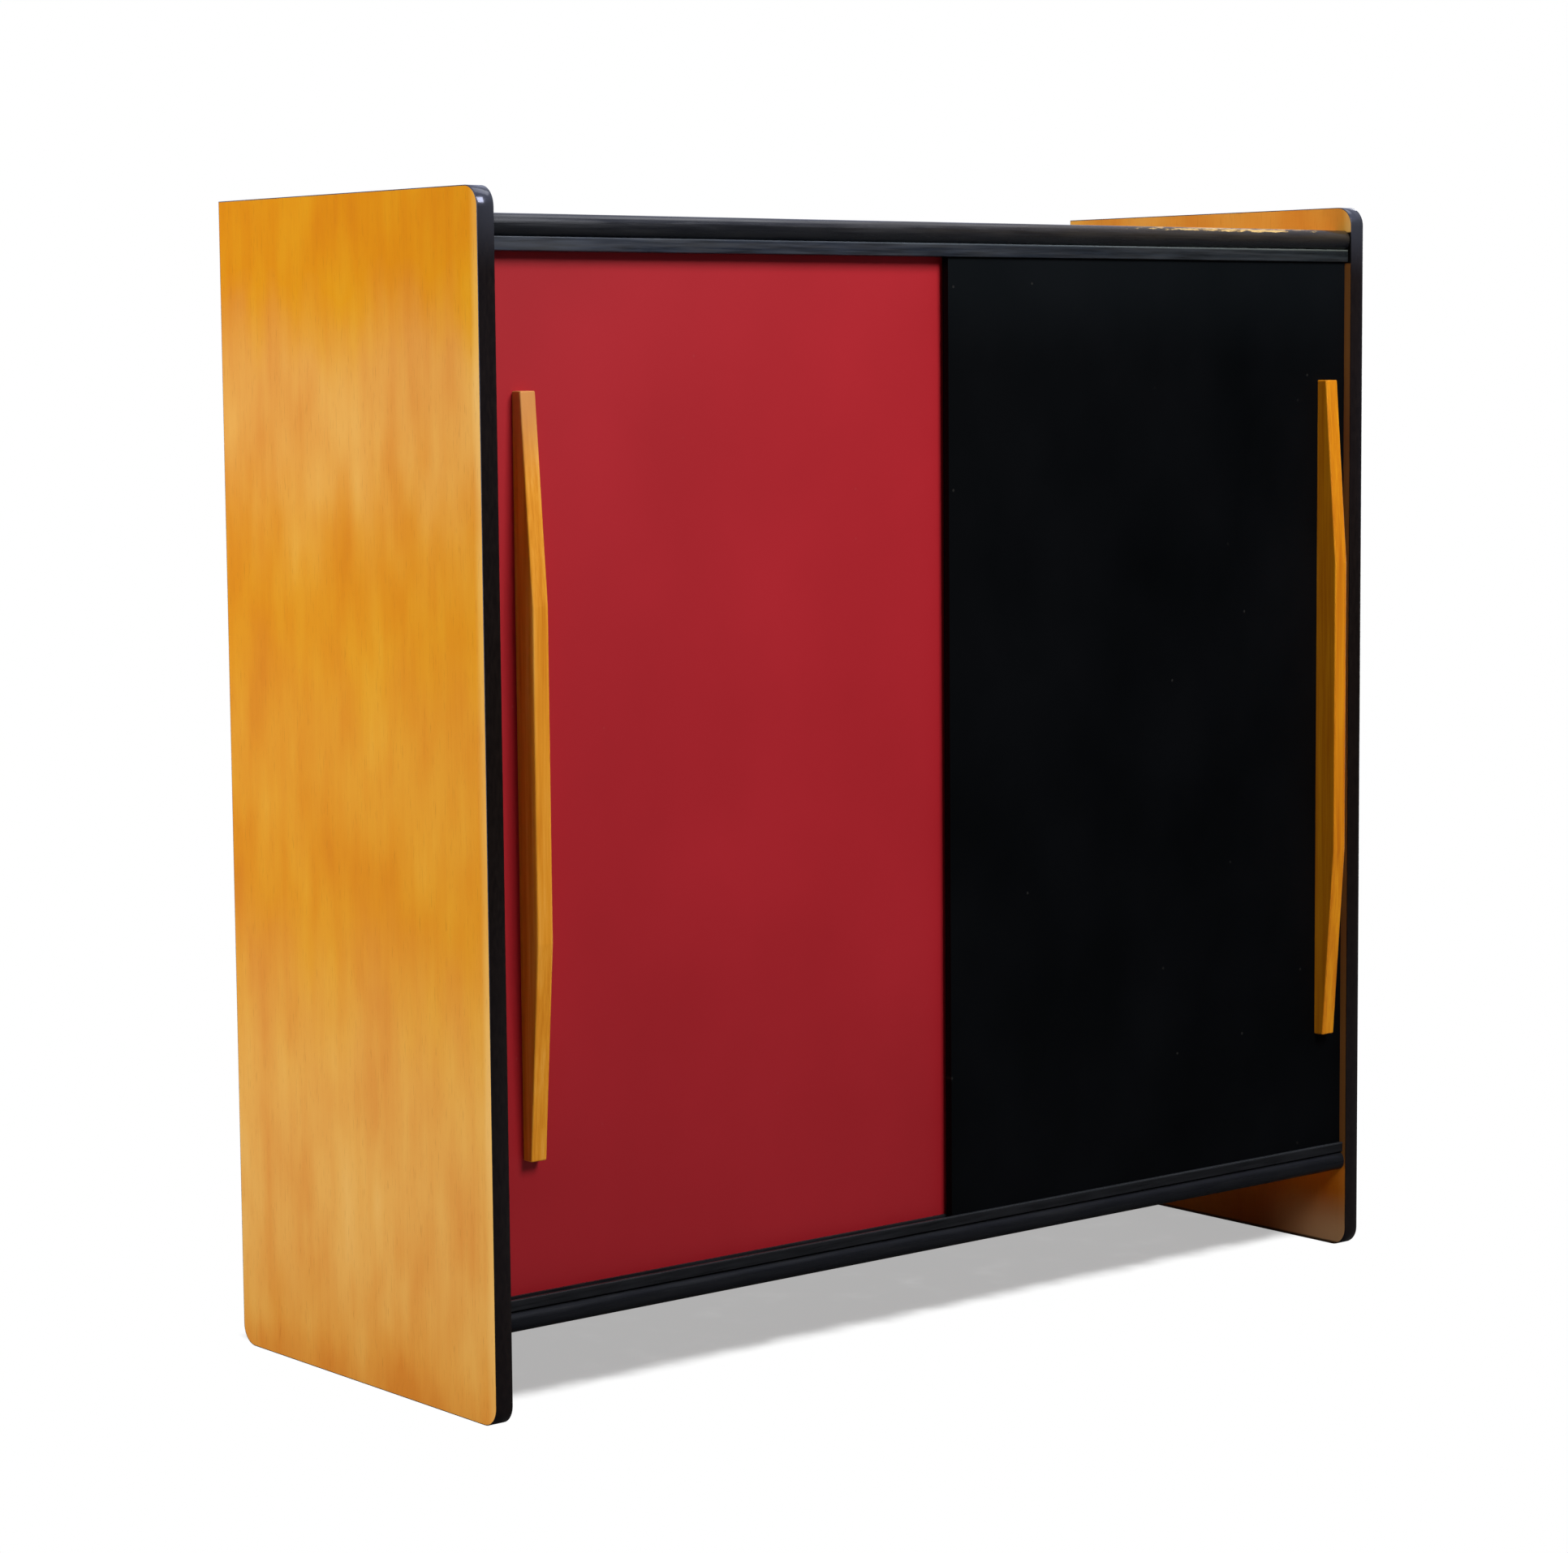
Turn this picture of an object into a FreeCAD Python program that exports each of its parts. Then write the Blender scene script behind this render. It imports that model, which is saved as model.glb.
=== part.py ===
import FreeCAD, Part
import os
import Sketcher
from FreeCAD import Placement, Rotation, Vector

# Side cabinet with two sliding doors between wooden side panels that stand on the floor as legs.
# Millimetres. +Z is up, the doors face -Y, and the origin is on the floor under the middle.

SIZES = [
    ("overall_width", 1065, "across the outer faces of the side panels"),
    ("overall_height", 1040, "floor to the top of the side panels"),
    ("side_depth", 400, "side panel, front edge to back edge"),
    ("board", 17, "thickness of the side panels, the divider and the shelves"),
    ("case_board", 19, "thickness of the top and bottom panels and of their nosings"),
    ("edge_band", 0.8, "black band round the side panels' edges"),
    ("corner_radius", 18, "rounded corners of the side panels"),
    ("band_arris", 0.5, "eased edges of the bands"),
    ("top_drop", 22.6, "top panel below the top of the side panels"),
    ("floor_gap", 77.8, "floor to the underside of the bottom panel"),
    ("nosing_setback", 2.4, "nosings behind the side panels' front edges"),
    ("nosing_depth", 18, "nosing, front to back"),
    ("nosing_radius", 8.5, "rounded front of the nosings"),
    ("track_setback", 4.5, "tracks behind the side panels' front edges"),
    ("top_track_height", 12, "top track, up and down"),
    ("bottom_track_height", 9.6, "bottom track, up and down"),
    ("top_groove", 9.5, "depth of the top grooves, deep enough to lift a door out"),
    ("bottom_groove", 6, "depth of the bottom grooves"),
    ("front_fence", 3.2, "track wall in front of the black door"),
    ("middle_fence", 2.6, "track wall between the doors"),
    ("rear_fence", 2.6, "track wall behind the red door"),
    ("track_arris", 0.8, "rounded front edges of the tracks"),
    ("door_board", 8, "thickness of the doors"),
    ("door_play", 0.3, "door to fence, each side"),
    ("door_overlap", 19.4, "how far the doors pass each other when shut"),
    ("door_side_gap", 0.5, "door edge to side panel when shut"),
    ("door_top_bite", 3.5, "door edge inside the top groove"),
    ("door_bottom_gap", 2, "door edge above the bottom groove's floor"),
    ("door_arris", 0.4, "eased long edges of the doors"),
    ("glide_length", 40, "runner block let into a door's bottom edge"),
    ("glide_width", 3.6, "runner block, front to back"),
    ("glide_slot", 10, "depth of the slot that holds a runner block"),
    ("glide_play", 0.3, "runner block above the groove's floor"),
    ("glide_inset", 60, "door edge to the near end of a runner block"),
    ("handle_width", 16, "handle, side to side"),
    ("handle_length", 650, "handle, end to end"),
    ("handle_depth", 25, "handle's deep middle"),
    ("handle_end_depth", 11, "handle's shallow ends"),
    ("handle_lower_taper", 187, "length of the lower slope"),
    ("handle_upper_taper", 179, "length of the upper slope"),
    ("handle_arris", 1.4, "eased long front edges of the handles"),
    ("red_handle_inset", 29, "left side panel to the red door's handle"),
    ("black_handle_inset", 22.3, "right side panel to the black door's handle"),
    ("back_board", 5, "thickness of the back panel"),
    ("back_recess", 3, "back panel inside the side panels' back edges"),
    ("rebate_width", 8, "rebate for the back panel, cut into each side panel"),
    ("back_gap", 0.5, "back panel to the end of its rebate"),
    ("divider_setback", 33, "divider behind the side panels' front edges"),
    ("shelf_setback", 37, "shelves behind the side panels' front edges"),
    ("shelf_gap", 0.5, "shelf end to its neighbour"),
    ("lower_shelf_rise", 290, "bottom panel to the underside of the lower shelves"),
    ("upper_shelf_rise", 597, "bottom panel to the underside of the upper shelves"),
    ("shelf_back_gap", 1, "shelf to back panel"),
    ("pin_radius", 3, "round peg of a shelf pin"),
    ("pin_depth", 7, "length of the peg in its hole"),
    ("pin_seat", 7, "square seat of a shelf pin, up and down and front to back"),
    ("pin_reach", 9, "seat under the shelf"),
    ("pin_inset", 50, "shelf edge to the middle of a pin"),
    ("pin_pitch", 40, "step of the pin holes above and below each shelf"),
    ("dowel_radius", 4, "dowels of the case joints"),
    ("dowel_length", 36, "dowels between side panels and top or bottom"),
    ("dowel_bite", 10, "dowel end inside a side panel"),
    ("dowel_inset", 45, "outer dowel to the board's edge"),
    ("divider_dowel_length", 30, "dowels of the divider"),
    ("divider_dowel_bite", 9, "dowel end inside the top or bottom panel"),
    ("peg_gap", 0.05, "round peg or screw to the wall of its hole"),
    ("hole_end_gap", 0.5, "space past the end of a peg or screw"),
    ("handle_screw_radius", 1.75, "handle screw, shank"),
    ("handle_screw_head", 3.4, "handle screw, radius of the countersunk head"),
    ("handle_screw_sink", 2.2, "handle screw, depth of the head"),
    ("handle_screw_length", 18, "handle screw"),
    ("handle_screw_inset", 42, "handle's end to its outer screws"),
    ("track_screw_radius", 1.25, "track screw, shank"),
    ("track_screw_head", 2.5, "track screw, radius of the countersunk head"),
    ("track_screw_sink", 1.5, "track screw, depth of the head"),
    ("track_screw_length", 13, "track screw"),
    ("track_screw_inset", 60, "track's end to its outer screws"),
    ("back_screw_radius", 1.5, "back screw, shank"),
    ("back_screw_head", 3.1, "back screw, radius of the countersunk head"),
    ("back_screw_sink", 1.8, "back screw, depth of the head"),
    ("back_screw_length", 20, "back screw"),
    ("back_screw_inset", 40, "back panel's corner to its outer screws"),
    ("overrun", 2, "how far cutting shapes pass the faces that they cut"),
]

# Places worked out from the sizes above. y grows to the back, and front is the side panels' front edge.
PLACES = [
    ("inner", "Sizes.overall_width / 2 - Sizes.board"),
    ("black_face", "Sizes.track_setback + Sizes.front_fence + Sizes.door_play"),
    ("groove", "Sizes.door_board + 2 * Sizes.door_play"),
    ("red_face", "black_face + groove + Sizes.middle_fence"),
    ("handle_proud", "Sizes.handle_depth - black_face"),
    ("front", "(handle_proud - Sizes.side_depth) / 2"),
    ("rear", "front + Sizes.side_depth"),
    ("back_inside", "rear - Sizes.back_recess - Sizes.back_board"),
    ("top_under", "Sizes.overall_height - Sizes.top_drop - Sizes.case_board"),
    ("top_face", "top_under + Sizes.case_board"),
    ("bottom_face", "Sizes.floor_gap + Sizes.case_board"),
    ("track_front", "front + Sizes.track_setback"),
    ("black_groove_y", "Sizes.front_fence"),
    ("fence_y", "black_groove_y + groove"),
    ("red_groove_y", "fence_y + Sizes.middle_fence"),
    ("rear_fence_y", "red_groove_y + groove"),
    ("track_depth", "rear_fence_y + Sizes.rear_fence"),
    ("top_track_z", "top_under - Sizes.top_track_height"),
    ("bottom_floor", "bottom_face + Sizes.bottom_track_height - Sizes.bottom_groove"),
    ("door_base", "bottom_floor + Sizes.door_bottom_gap"),
    ("door_height", "top_track_z + Sizes.door_top_bite - door_base"),
    ("door_width", "inner + Sizes.door_overlap / 2 - Sizes.door_side_gap"),
    ("red_x", "-inner + Sizes.door_side_gap"),
    ("black_x", "-Sizes.door_overlap / 2"),
    ("red_y", "front + red_face"),
    ("black_y", "front + black_face"),
    ("handle_z", "door_base + (door_height - Sizes.handle_length) / 2"),
    ("red_handle_x", "-inner + Sizes.red_handle_inset"),
    ("black_handle_x", "inner - Sizes.black_handle_inset - Sizes.handle_width"),
    ("board_y", "front + Sizes.nosing_setback + Sizes.nosing_depth"),
    ("board_depth", "back_inside - board_y"),
    ("divider_y", "front + Sizes.divider_setback"),
    ("divider_depth", "back_inside - divider_y"),
    ("divider_height", "top_under - bottom_face"),
    ("shelf_y", "front + Sizes.shelf_setback"),
    ("shelf_depth", "back_inside - Sizes.shelf_back_gap - shelf_y"),
    ("shelf_width", "inner - Sizes.board / 2 - 2 * Sizes.shelf_gap"),
    ("lower_shelf_z", "bottom_face + Sizes.lower_shelf_rise"),
    ("upper_shelf_z", "bottom_face + Sizes.upper_shelf_rise"),
]

TOWARD_LEFT = Vector(-1, 0, 0)
TOWARD_RIGHT = Vector(1, 0, 0)
TOWARD_FRONT = Vector(0, -1, 0)
TOWARD_UP = Vector(0, 0, 1)
TOWARD_DOWN = Vector(0, 0, -1)
SAME_PLACE = 0.001

doc = FreeCAD.newDocument("SideCabinet")
parts = []


def fill_sheet(name, rows):
    """Write rows of (alias, content, note) into a new sheet."""
    sheet = doc.addObject("Spreadsheet::Sheet", name)
    for number, (alias, content, note) in enumerate(rows, start=1):
        sheet.set("A%d" % number, note)
        sheet.set("B%d" % number, str(content))
        sheet.setAlias("B%d" % number, alias)
    doc.recompute()
    return sheet


sizes = fill_sheet("Sizes", SIZES)
places = fill_sheet("Places", [(alias, "=" + formula, formula) for alias, formula in PLACES])


def value(formula):
    """The number that a formula on the two sheets gives now."""
    return float(places.evalExpression(formula))


def bind(thing, **formulas):
    """Bind the sizes of an object to formulas on the sheets."""
    for name, formula in formulas.items():
        thing.setExpression(name, formula)
    return thing


def place(thing, x="0", y="0", z="0"):
    """Bind the place of an object to formulas on the sheets."""
    for axis, formula in (("x", x), ("y", y), ("z", z)):
        thing.setExpression("Placement.Base." + axis, formula)
    return thing


def keep(thing, label):
    """Name an object as one of the cabinet's sub-parts."""
    thing.Label = label
    parts.append(thing)
    return thing


def box(name, width, depth, height, x, y, z):
    """Rectangular block from its lowest corner."""
    thing = doc.addObject("Part::Box", name)
    bind(thing, Length=width, Width=depth, Height=height)
    return place(thing, x, y, z)


def rod(name, radius, length, toward, x, y, z):
    """Round rod from the middle of its first end."""
    thing = doc.addObject("Part::Cylinder", name)
    bind(thing, Radius=radius, Height=length)
    thing.Placement = Placement(Vector(), Rotation(Vector(0, 0, 1), toward))
    return place(thing, x, y, z)


def cone(name, radius, end_radius, length, toward, x, y, z):
    """Cone from the middle of its wide end."""
    thing = doc.addObject("Part::Cone", name)
    bind(thing, Radius1=radius, Radius2=end_radius, Height=length)
    thing.Placement = Placement(Vector(), Rotation(Vector(0, 0, 1), toward))
    return place(thing, x, y, z)


def group(name, things):
    """Several solids kept apart under one name."""
    thing = doc.addObject("Part::Compound", name)
    thing.Links = things
    return thing


def fuse(name, things):
    """One solid made of several."""
    thing = doc.addObject("Part::MultiFuse", name)
    thing.Shapes = things
    return thing


def cut(name, base, tools):
    """A base with the tools cut out of it."""
    thing = doc.addObject("Part::Cut", name)
    thing.Base = base
    thing.Tool = group(name + "_cuts", tools)
    return thing


def body(name, x, y, z):
    """Empty body at its place."""
    return place(doc.addObject("PartDesign::Body", name), x, y, z)


def side_profile(owner, corners):
    """Closed outline in the body's YZ plane through corners given as (y, z) formulas."""
    sketch = owner.newObject("Sketcher::SketchObject", owner.Name + "_profile")
    plane = [item for item in owner.Origin.OriginFeatures if item.Role == "YZ_Plane"][0]
    sketch.AttachmentSupport = [(plane, "")]
    sketch.MapMode = "FlatFace"
    points = [Vector(value(y), value(z), 0) for y, z in corners]
    last = len(points) - 1
    for number, point in enumerate(points):
        following = points[0 if number == last else number + 1]
        sketch.addGeometry(Part.LineSegment(point, following), False)
    for number in range(len(points)):
        following = 0 if number == last else number + 1
        sketch.addConstraint(Sketcher.Constraint("Coincident", number, 2, following, 1))
    for number, (y, z) in enumerate(corners):
        for kind, formula, axis in (("DistanceX", y, -2), ("DistanceY", z, -1)):
            if formula == "0":
                sketch.addConstraint(Sketcher.Constraint("PointOnObject", number, 1, axis))
            else:
                held = Sketcher.Constraint(kind, -1, 1, number, 1, value(formula))
                index = sketch.addConstraint(held)
                sketch.setExpression("Constraints[%d]" % index, formula)
    return sketch


def pad(owner, corners, length):
    """Board or strip with a profile in YZ that runs along X."""
    feature = owner.newObject("PartDesign::Pad", owner.Name + "_pad")
    feature.Profile = side_profile(owner, corners)
    bind(feature, Length=length)
    doc.recompute()
    return feature


def round_edges(owner, chosen, radius):
    """Round the edges of the body's last feature that chosen(edge) picks."""
    base = owner.Tip
    names = ["Edge%d" % (number + 1) for number, edge in enumerate(base.Shape.Edges) if chosen(edge)]
    feature = owner.newObject("PartDesign::Fillet", owner.Name + "_round")
    feature.Base = (base, names)
    bind(feature, Radius=radius)
    doc.recompute()
    return feature


def near(first, second):
    return abs(first - second) < SAME_PLACE


def along_x_at(*corners):
    """Picker of edges along X through one of the (y, z) formulas."""
    wanted = [(value(y), value(z)) for y, z in corners]

    def chosen(edge):
        ends = [vertex.Point for vertex in edge.Vertexes]
        if len(ends) < 2 or near(ends[0].x, ends[1].x):
            return False
        return any(all(near(end.y, y) and near(end.z, z) for end in ends) for y, z in wanted)
    return chosen


def in_plane_x(*formulas):
    """Picker of edges that lie in one of the planes across X."""
    wanted = [value(formula) for formula in formulas]

    def chosen(edge):
        bounds = edge.BoundBox
        return any(near(bounds.XMin, x) and near(bounds.XMax, x) for x in wanted)
    return chosen


def rectangle(depth, height, inset="0"):
    """Corners of an upright rectangle, inset on all sides."""
    far_y = depth if inset == "0" else depth + " - " + inset
    far_z = height if inset == "0" else height + " - " + inset
    return [(inset, inset), (far_y, inset), (far_y, far_z), (inset, far_z)]


def screw(name, kind, toward, x, y, z):
    """Countersunk screw whose flat head ends at its place."""
    radius = "Sizes.%s_radius" % kind
    head = cone(name + "_head", "Sizes.%s_head" % kind, radius, "Sizes.%s_sink" % kind, toward, x, y, z)
    shank = rod(name + "_shank", radius, "Sizes.%s_length" % kind, toward, x, y, z)
    return fuse(name, [head, shank])


def screw_hole(name, kind, toward, x, y, z):
    """Cutting shape for the hole of such a screw."""
    radius = "Sizes.%s_radius + Sizes.peg_gap" % kind
    wide = "Sizes.%s_head + Sizes.peg_gap" % kind
    head = cone(name + "_sink", wide, radius, "Sizes.%s_sink + Sizes.peg_gap" % kind, toward, x, y, z)
    length = "Sizes.%s_length + Sizes.hole_end_gap" % kind
    return fuse(name, [head, rod(name + "_bore", radius, length, toward, x, y, z)])


def spread(low, high, count):
    """Formulas evenly spaced from low to high."""
    steps = count - 1
    return ["%s + (%s - (%s)) * %d / %d" % (low, high, low, step, steps) for step in range(count)]


def side_blank(name, inset, radius, x, thickness):
    """Side panel outline: square at the back of the top, rounded at the other three corners."""
    owner = body(name, x, "Places.front", "0")
    corners = rectangle("Sizes.side_depth", "Sizes.overall_height", inset)
    pad(owner, corners, thickness)
    front_bottom, back_bottom, back_top, front_top = corners
    round_edges(owner, along_x_at(front_bottom, back_bottom, front_top), radius)
    return owner


def rebate(side, face):
    """Cutting shape of the rebate for the back panel, along a side panel's inner face."""
    start = face + " - Sizes.rebate_width" if side == "left" else face + " - Sizes.overrun"
    return box(side + "_rebate", "Sizes.rebate_width + Sizes.overrun",
               "Sizes.back_recess + Sizes.back_board + Sizes.overrun",
               "Places.top_face - Sizes.floor_gap + 2 * Sizes.back_gap",
               start, "Places.back_inside", "Sizes.floor_gap - Sizes.back_gap")


def edge_band(side, x, face):
    """Thin black band round the edges of a side panel, cut away at the rebate."""
    outer = side_blank(side + "_band_outer", "0", "Sizes.corner_radius", x, "Sizes.board")
    round_edges(outer, in_plane_x("0", "Sizes.board"), "Sizes.band_arris")
    core = side_blank(side + "_band_core", "Sizes.edge_band", "Sizes.corner_radius - Sizes.edge_band",
                      x + " - Sizes.overrun", "Sizes.board + 2 * Sizes.overrun")
    keep(cut(side + "_edge_band", outer, [core, rebate(side, face)]), side + "_edge_band")


DOWEL_YS = spread("Places.board_y + Sizes.dowel_inset", "Places.back_inside - Sizes.dowel_inset", 4)
PANEL_MIDDLES = {
    "top": "Places.top_under + Sizes.case_board / 2",
    "bottom": "Sizes.floor_gap + Sizes.case_board / 2",
}
SHELF_LEVELS = {"lower": "Places.lower_shelf_z", "upper": "Places.upper_shelf_z"}
PIN_YS = ["Places.shelf_y + Sizes.pin_inset", "Places.shelf_y + Places.shelf_depth - Sizes.pin_inset"]
PIN_ROWS = ["- Sizes.pin_pitch", "", "+ Sizes.pin_pitch"]


def pin_axis(level):
    """Height of a shelf pin's axis: its square seat ends at the underside of the shelf."""
    return SHELF_LEVELS[level] + " - Sizes.pin_seat / 2"


def pin_holes(name, toward, face):
    """Blind holes for shelf pins, sunk from an upright face: one at each shelf, one above, one below."""
    depth = "Sizes.pin_depth + Sizes.hole_end_gap"
    holes = []
    for level in SHELF_LEVELS:
        for y in PIN_YS:
            for row in PIN_ROWS:
                holes.append(rod(name, "Sizes.pin_radius + Sizes.peg_gap", depth,
                                 toward, face, y, "%s %s" % (pin_axis(level), row)))
    return holes


def back_screw_places():
    """Where the back panel is screwed on: (x, z) formulas."""
    edge = "(Places.inner + Sizes.rebate_width / 2)"
    high = PANEL_MIDDLES["top"]
    low = PANEL_MIDDLES["bottom"]
    found = []
    for x in spread("-" + edge + " + Sizes.back_screw_inset", edge + " - Sizes.back_screw_inset", 6):
        found.append((x, high))
        found.append((x, low))
    for z in spread(low + " + Sizes.back_screw_inset", high + " - Sizes.back_screw_inset", 5):
        found.append(("-" + edge, z))
        found.append((edge, z))
    for z in spread(low, high, 5)[1:4]:
        found.append(("0", z))
    return found


BACK_FACE = "Places.back_inside + Sizes.back_board"
BACK_SCREWS = back_screw_places()


def back_screw_holes():
    """Fresh cutting shapes for every screw of the back panel."""
    return [screw_hole("back_hole", "back_screw", TOWARD_FRONT, x, BACK_FACE, z) for x, z in BACK_SCREWS]


def side_panel(side, x, face, outward):
    """Veneered board with the rebate for the back panel and the holes for dowels, pins and screws."""
    blank = side_blank(side + "_blank", "Sizes.edge_band", "Sizes.corner_radius - Sizes.edge_band",
                       x, "Sizes.board")
    tools = [rebate(side, face)]
    for middle in PANEL_MIDDLES.values():
        for y in DOWEL_YS:
            tools.append(rod(side + "_dowel_hole", "Sizes.dowel_radius + Sizes.peg_gap",
                             "Sizes.dowel_bite + Sizes.hole_end_gap", outward, face, y, middle))
    tools += pin_holes(side + "_pin_hole", outward, face)
    tools += back_screw_holes()
    keep(cut(side + "_side_panel", blank, tools), side + "_side_panel")


def case_panel(which, z):
    """Top or bottom panel between the sides, dowelled into them, with the divider's dowel holes."""
    blank = box(which + "_blank", "2 * Places.inner", "Places.board_depth", "Sizes.case_board",
                "-Places.inner", "Places.board_y", z)
    middle = PANEL_MIDDLES[which]
    depth = "Sizes.dowel_length - Sizes.dowel_bite + Sizes.hole_end_gap"
    tools = []
    for y in DOWEL_YS:
        for face, inward in (("-Places.inner", TOWARD_RIGHT), ("Places.inner", TOWARD_LEFT)):
            tools.append(rod(which + "_dowel_hole", "Sizes.dowel_radius + Sizes.peg_gap", depth,
                             inward, face, y, middle))
    into = TOWARD_UP if which == "top" else TOWARD_DOWN
    face = "Places.top_under" if which == "top" else "Places.bottom_face"
    for y in divider_dowel_ys():
        tools.append(rod(which + "_divider_hole", "Sizes.dowel_radius + Sizes.peg_gap",
                         "Sizes.divider_dowel_bite + Sizes.hole_end_gap", into, "0", y, face))
    tools += back_screw_holes()
    keep(cut(which + "_panel", blank, tools), which + "_panel")


def divider_dowel_ys():
    return spread("Places.divider_y + Sizes.dowel_inset", "Places.back_inside - Sizes.dowel_inset", 3)


TRACK_SCREW_XS = spread("-Places.inner + Sizes.track_screw_inset",
                        "Places.inner - Sizes.track_screw_inset", 5)
TRACK_SCREW_Y = "Places.track_front + Places.black_groove_y + Places.groove / 2"


def track_screw_seat(which):
    """Direction of a track's screws and the height of the groove floor that their heads lie in."""
    if which == "top":
        return TOWARD_UP, "Places.top_track_z + Sizes.top_groove"
    return TOWARD_DOWN, "Places.bottom_floor"


def track_screw_tools(which):
    """Fresh cutting shapes for the screws of a track."""
    toward, seat = track_screw_seat(which)
    return [screw_hole(which + "_track_hole", "track_screw", toward, x, TRACK_SCREW_Y, seat)
            for x in TRACK_SCREW_XS]


def nosing(which, z):
    """Rounded black strip along the front edge of the top or bottom panel, which holds the track's screws."""
    owner = body(which + "_nosing_body", "-Places.inner", "Places.front + Sizes.nosing_setback", z)
    corners = rectangle("Sizes.nosing_depth", "Sizes.case_board")
    pad(owner, corners, "2 * Places.inner")
    round_edges(owner, along_x_at(corners[0], corners[3]), "Sizes.nosing_radius")
    keep(cut(which + "_front_nosing", owner, track_screw_tools(which)), which + "_front_nosing")


def track(which, z):
    """Black strip with two grooves: the front one guides the black door, the rear one the red door."""
    height = "Sizes.%s_track_height" % which
    depth = "Sizes.%s_groove" % which
    if which == "top":
        edge, floor, spine = "0", depth, height
    else:
        edge, floor, spine = height, height + " - " + depth, "0"
    ys = ["Places.rear_fence_y", "Places.red_groove_y", "Places.fence_y", "Places.black_groove_y"]
    corners = [("0", spine), ("Places.track_depth", spine), ("Places.track_depth", edge)]
    for y, inward in zip(ys, (True, False, True, False)):
        first, second = (edge, floor) if inward else (floor, edge)
        corners += [(y, first), (y, second)]
    corners.append(("0", edge))
    owner = body(which + "_track_body", "-Places.inner", "Places.track_front", z)
    pad(owner, corners, "2 * Places.inner")
    round_edges(owner, along_x_at(("0", "0"), ("0", height)), "Sizes.track_arris")
    keep(cut(which + "_door_track", owner, track_screw_tools(which)), which + "_door_track")
    toward, seat = track_screw_seat(which)
    screws = [screw(which + "_track_screw", "track_screw", toward, x, TRACK_SCREW_Y, seat)
              for x in TRACK_SCREW_XS]
    keep(group(which + "_track_screws", screws), which + "_track_screws")


def panel_dowels(which):
    """Dowels that join the top or bottom panel to the side panels."""
    dowels = []
    for y in DOWEL_YS:
        for start in ("-Places.inner - Sizes.dowel_bite",
                      "Places.inner + Sizes.dowel_bite - Sizes.dowel_length"):
            dowels.append(rod(which + "_dowel", "Sizes.dowel_radius", "Sizes.dowel_length",
                              TOWARD_RIGHT, start, y, PANEL_MIDDLES[which]))
    keep(group(which + "_panel_dowels", dowels), which + "_panel_dowels")


def divider():
    """Upright board between the two bays, with its dowels and its black front edge."""
    blank = box("divider_blank", "Sizes.board", "Places.divider_depth", "Places.divider_height",
                "-Sizes.board / 2", "Places.divider_y", "Places.bottom_face")
    depth = "Sizes.divider_dowel_length - Sizes.divider_dowel_bite + Sizes.hole_end_gap"
    tools = []
    dowels = []
    for y in divider_dowel_ys():
        for face, into in (("Places.bottom_face", TOWARD_UP), ("Places.top_under", TOWARD_DOWN)):
            tools.append(rod("divider_dowel_hole", "Sizes.dowel_radius + Sizes.peg_gap", depth,
                             into, "0", y, face))
        for start in ("Places.bottom_face - Sizes.divider_dowel_bite",
                      "Places.top_under + Sizes.divider_dowel_bite - Sizes.divider_dowel_length"):
            dowels.append(rod("divider_dowel", "Sizes.dowel_radius", "Sizes.divider_dowel_length",
                              TOWARD_UP, "0", y, start))
    tools += pin_holes("divider_left_pin_hole", TOWARD_RIGHT, "-Sizes.board / 2")
    tools += pin_holes("divider_right_pin_hole", TOWARD_LEFT, "Sizes.board / 2")
    tools += back_screw_holes()
    keep(cut("centre_divider", blank, tools), "centre_divider")
    keep(group("divider_dowels", dowels), "divider_dowels")
    band = box("divider_band", "Sizes.board", "Sizes.edge_band", "Places.divider_height",
               "-Sizes.board / 2", "Places.divider_y - Sizes.edge_band", "Places.bottom_face")
    keep(band, "divider_edge_band")


SHELF_XS = {
    "left": "-Places.inner + Sizes.shelf_gap",
    "right": "Sizes.board / 2 + Sizes.shelf_gap",
}


def shelves():
    """Two loose shelves in each bay, each on four pins, with black front edges."""
    bands = []
    for side, x in SHELF_XS.items():
        for level, z in SHELF_LEVELS.items():
            name = "%s_%s_shelf" % (side, level)
            keep(box(name, "Places.shelf_width", "Places.shelf_depth", "Sizes.board",
                     x, "Places.shelf_y", z), name)
            bands.append(box(name + "_band", "Places.shelf_width", "Sizes.edge_band", "Sizes.board",
                             x, "Places.shelf_y - Sizes.edge_band", z))
    keep(group("shelf_edge_bands", bands), "shelf_edge_bands")


def shelf_pin(name, toward, face, y, z):
    """Round peg with a square seat outside the hole, facing along toward."""
    start = face + (" - Sizes.pin_depth" if toward is TOWARD_RIGHT else " + Sizes.pin_depth")
    peg = rod(name + "_peg", "Sizes.pin_radius", "Sizes.pin_depth + Sizes.pin_reach / 2", toward, start, y, z)
    seat_x = face if toward is TOWARD_RIGHT else face + " - Sizes.pin_reach"
    seat = box(name + "_seat", "Sizes.pin_reach", "Sizes.pin_seat", "Sizes.pin_seat",
               seat_x, y + " - Sizes.pin_seat / 2", z + " - Sizes.pin_seat / 2")
    return fuse(name, [peg, seat])


def shelf_pins(side):
    """The eight pins of one bay."""
    if side == "left":
        faces = (("-Places.inner", TOWARD_RIGHT), ("-Sizes.board / 2", TOWARD_LEFT))
    else:
        faces = (("Sizes.board / 2", TOWARD_RIGHT), ("Places.inner", TOWARD_LEFT))
    pins = []
    for level in SHELF_LEVELS:
        for y in PIN_YS:
            for face, toward in faces:
                pins.append(shelf_pin(side + "_pin", toward, face, y, pin_axis(level)))
    keep(group(side + "_shelf_pins", pins), side + "_shelf_pins")


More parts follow.
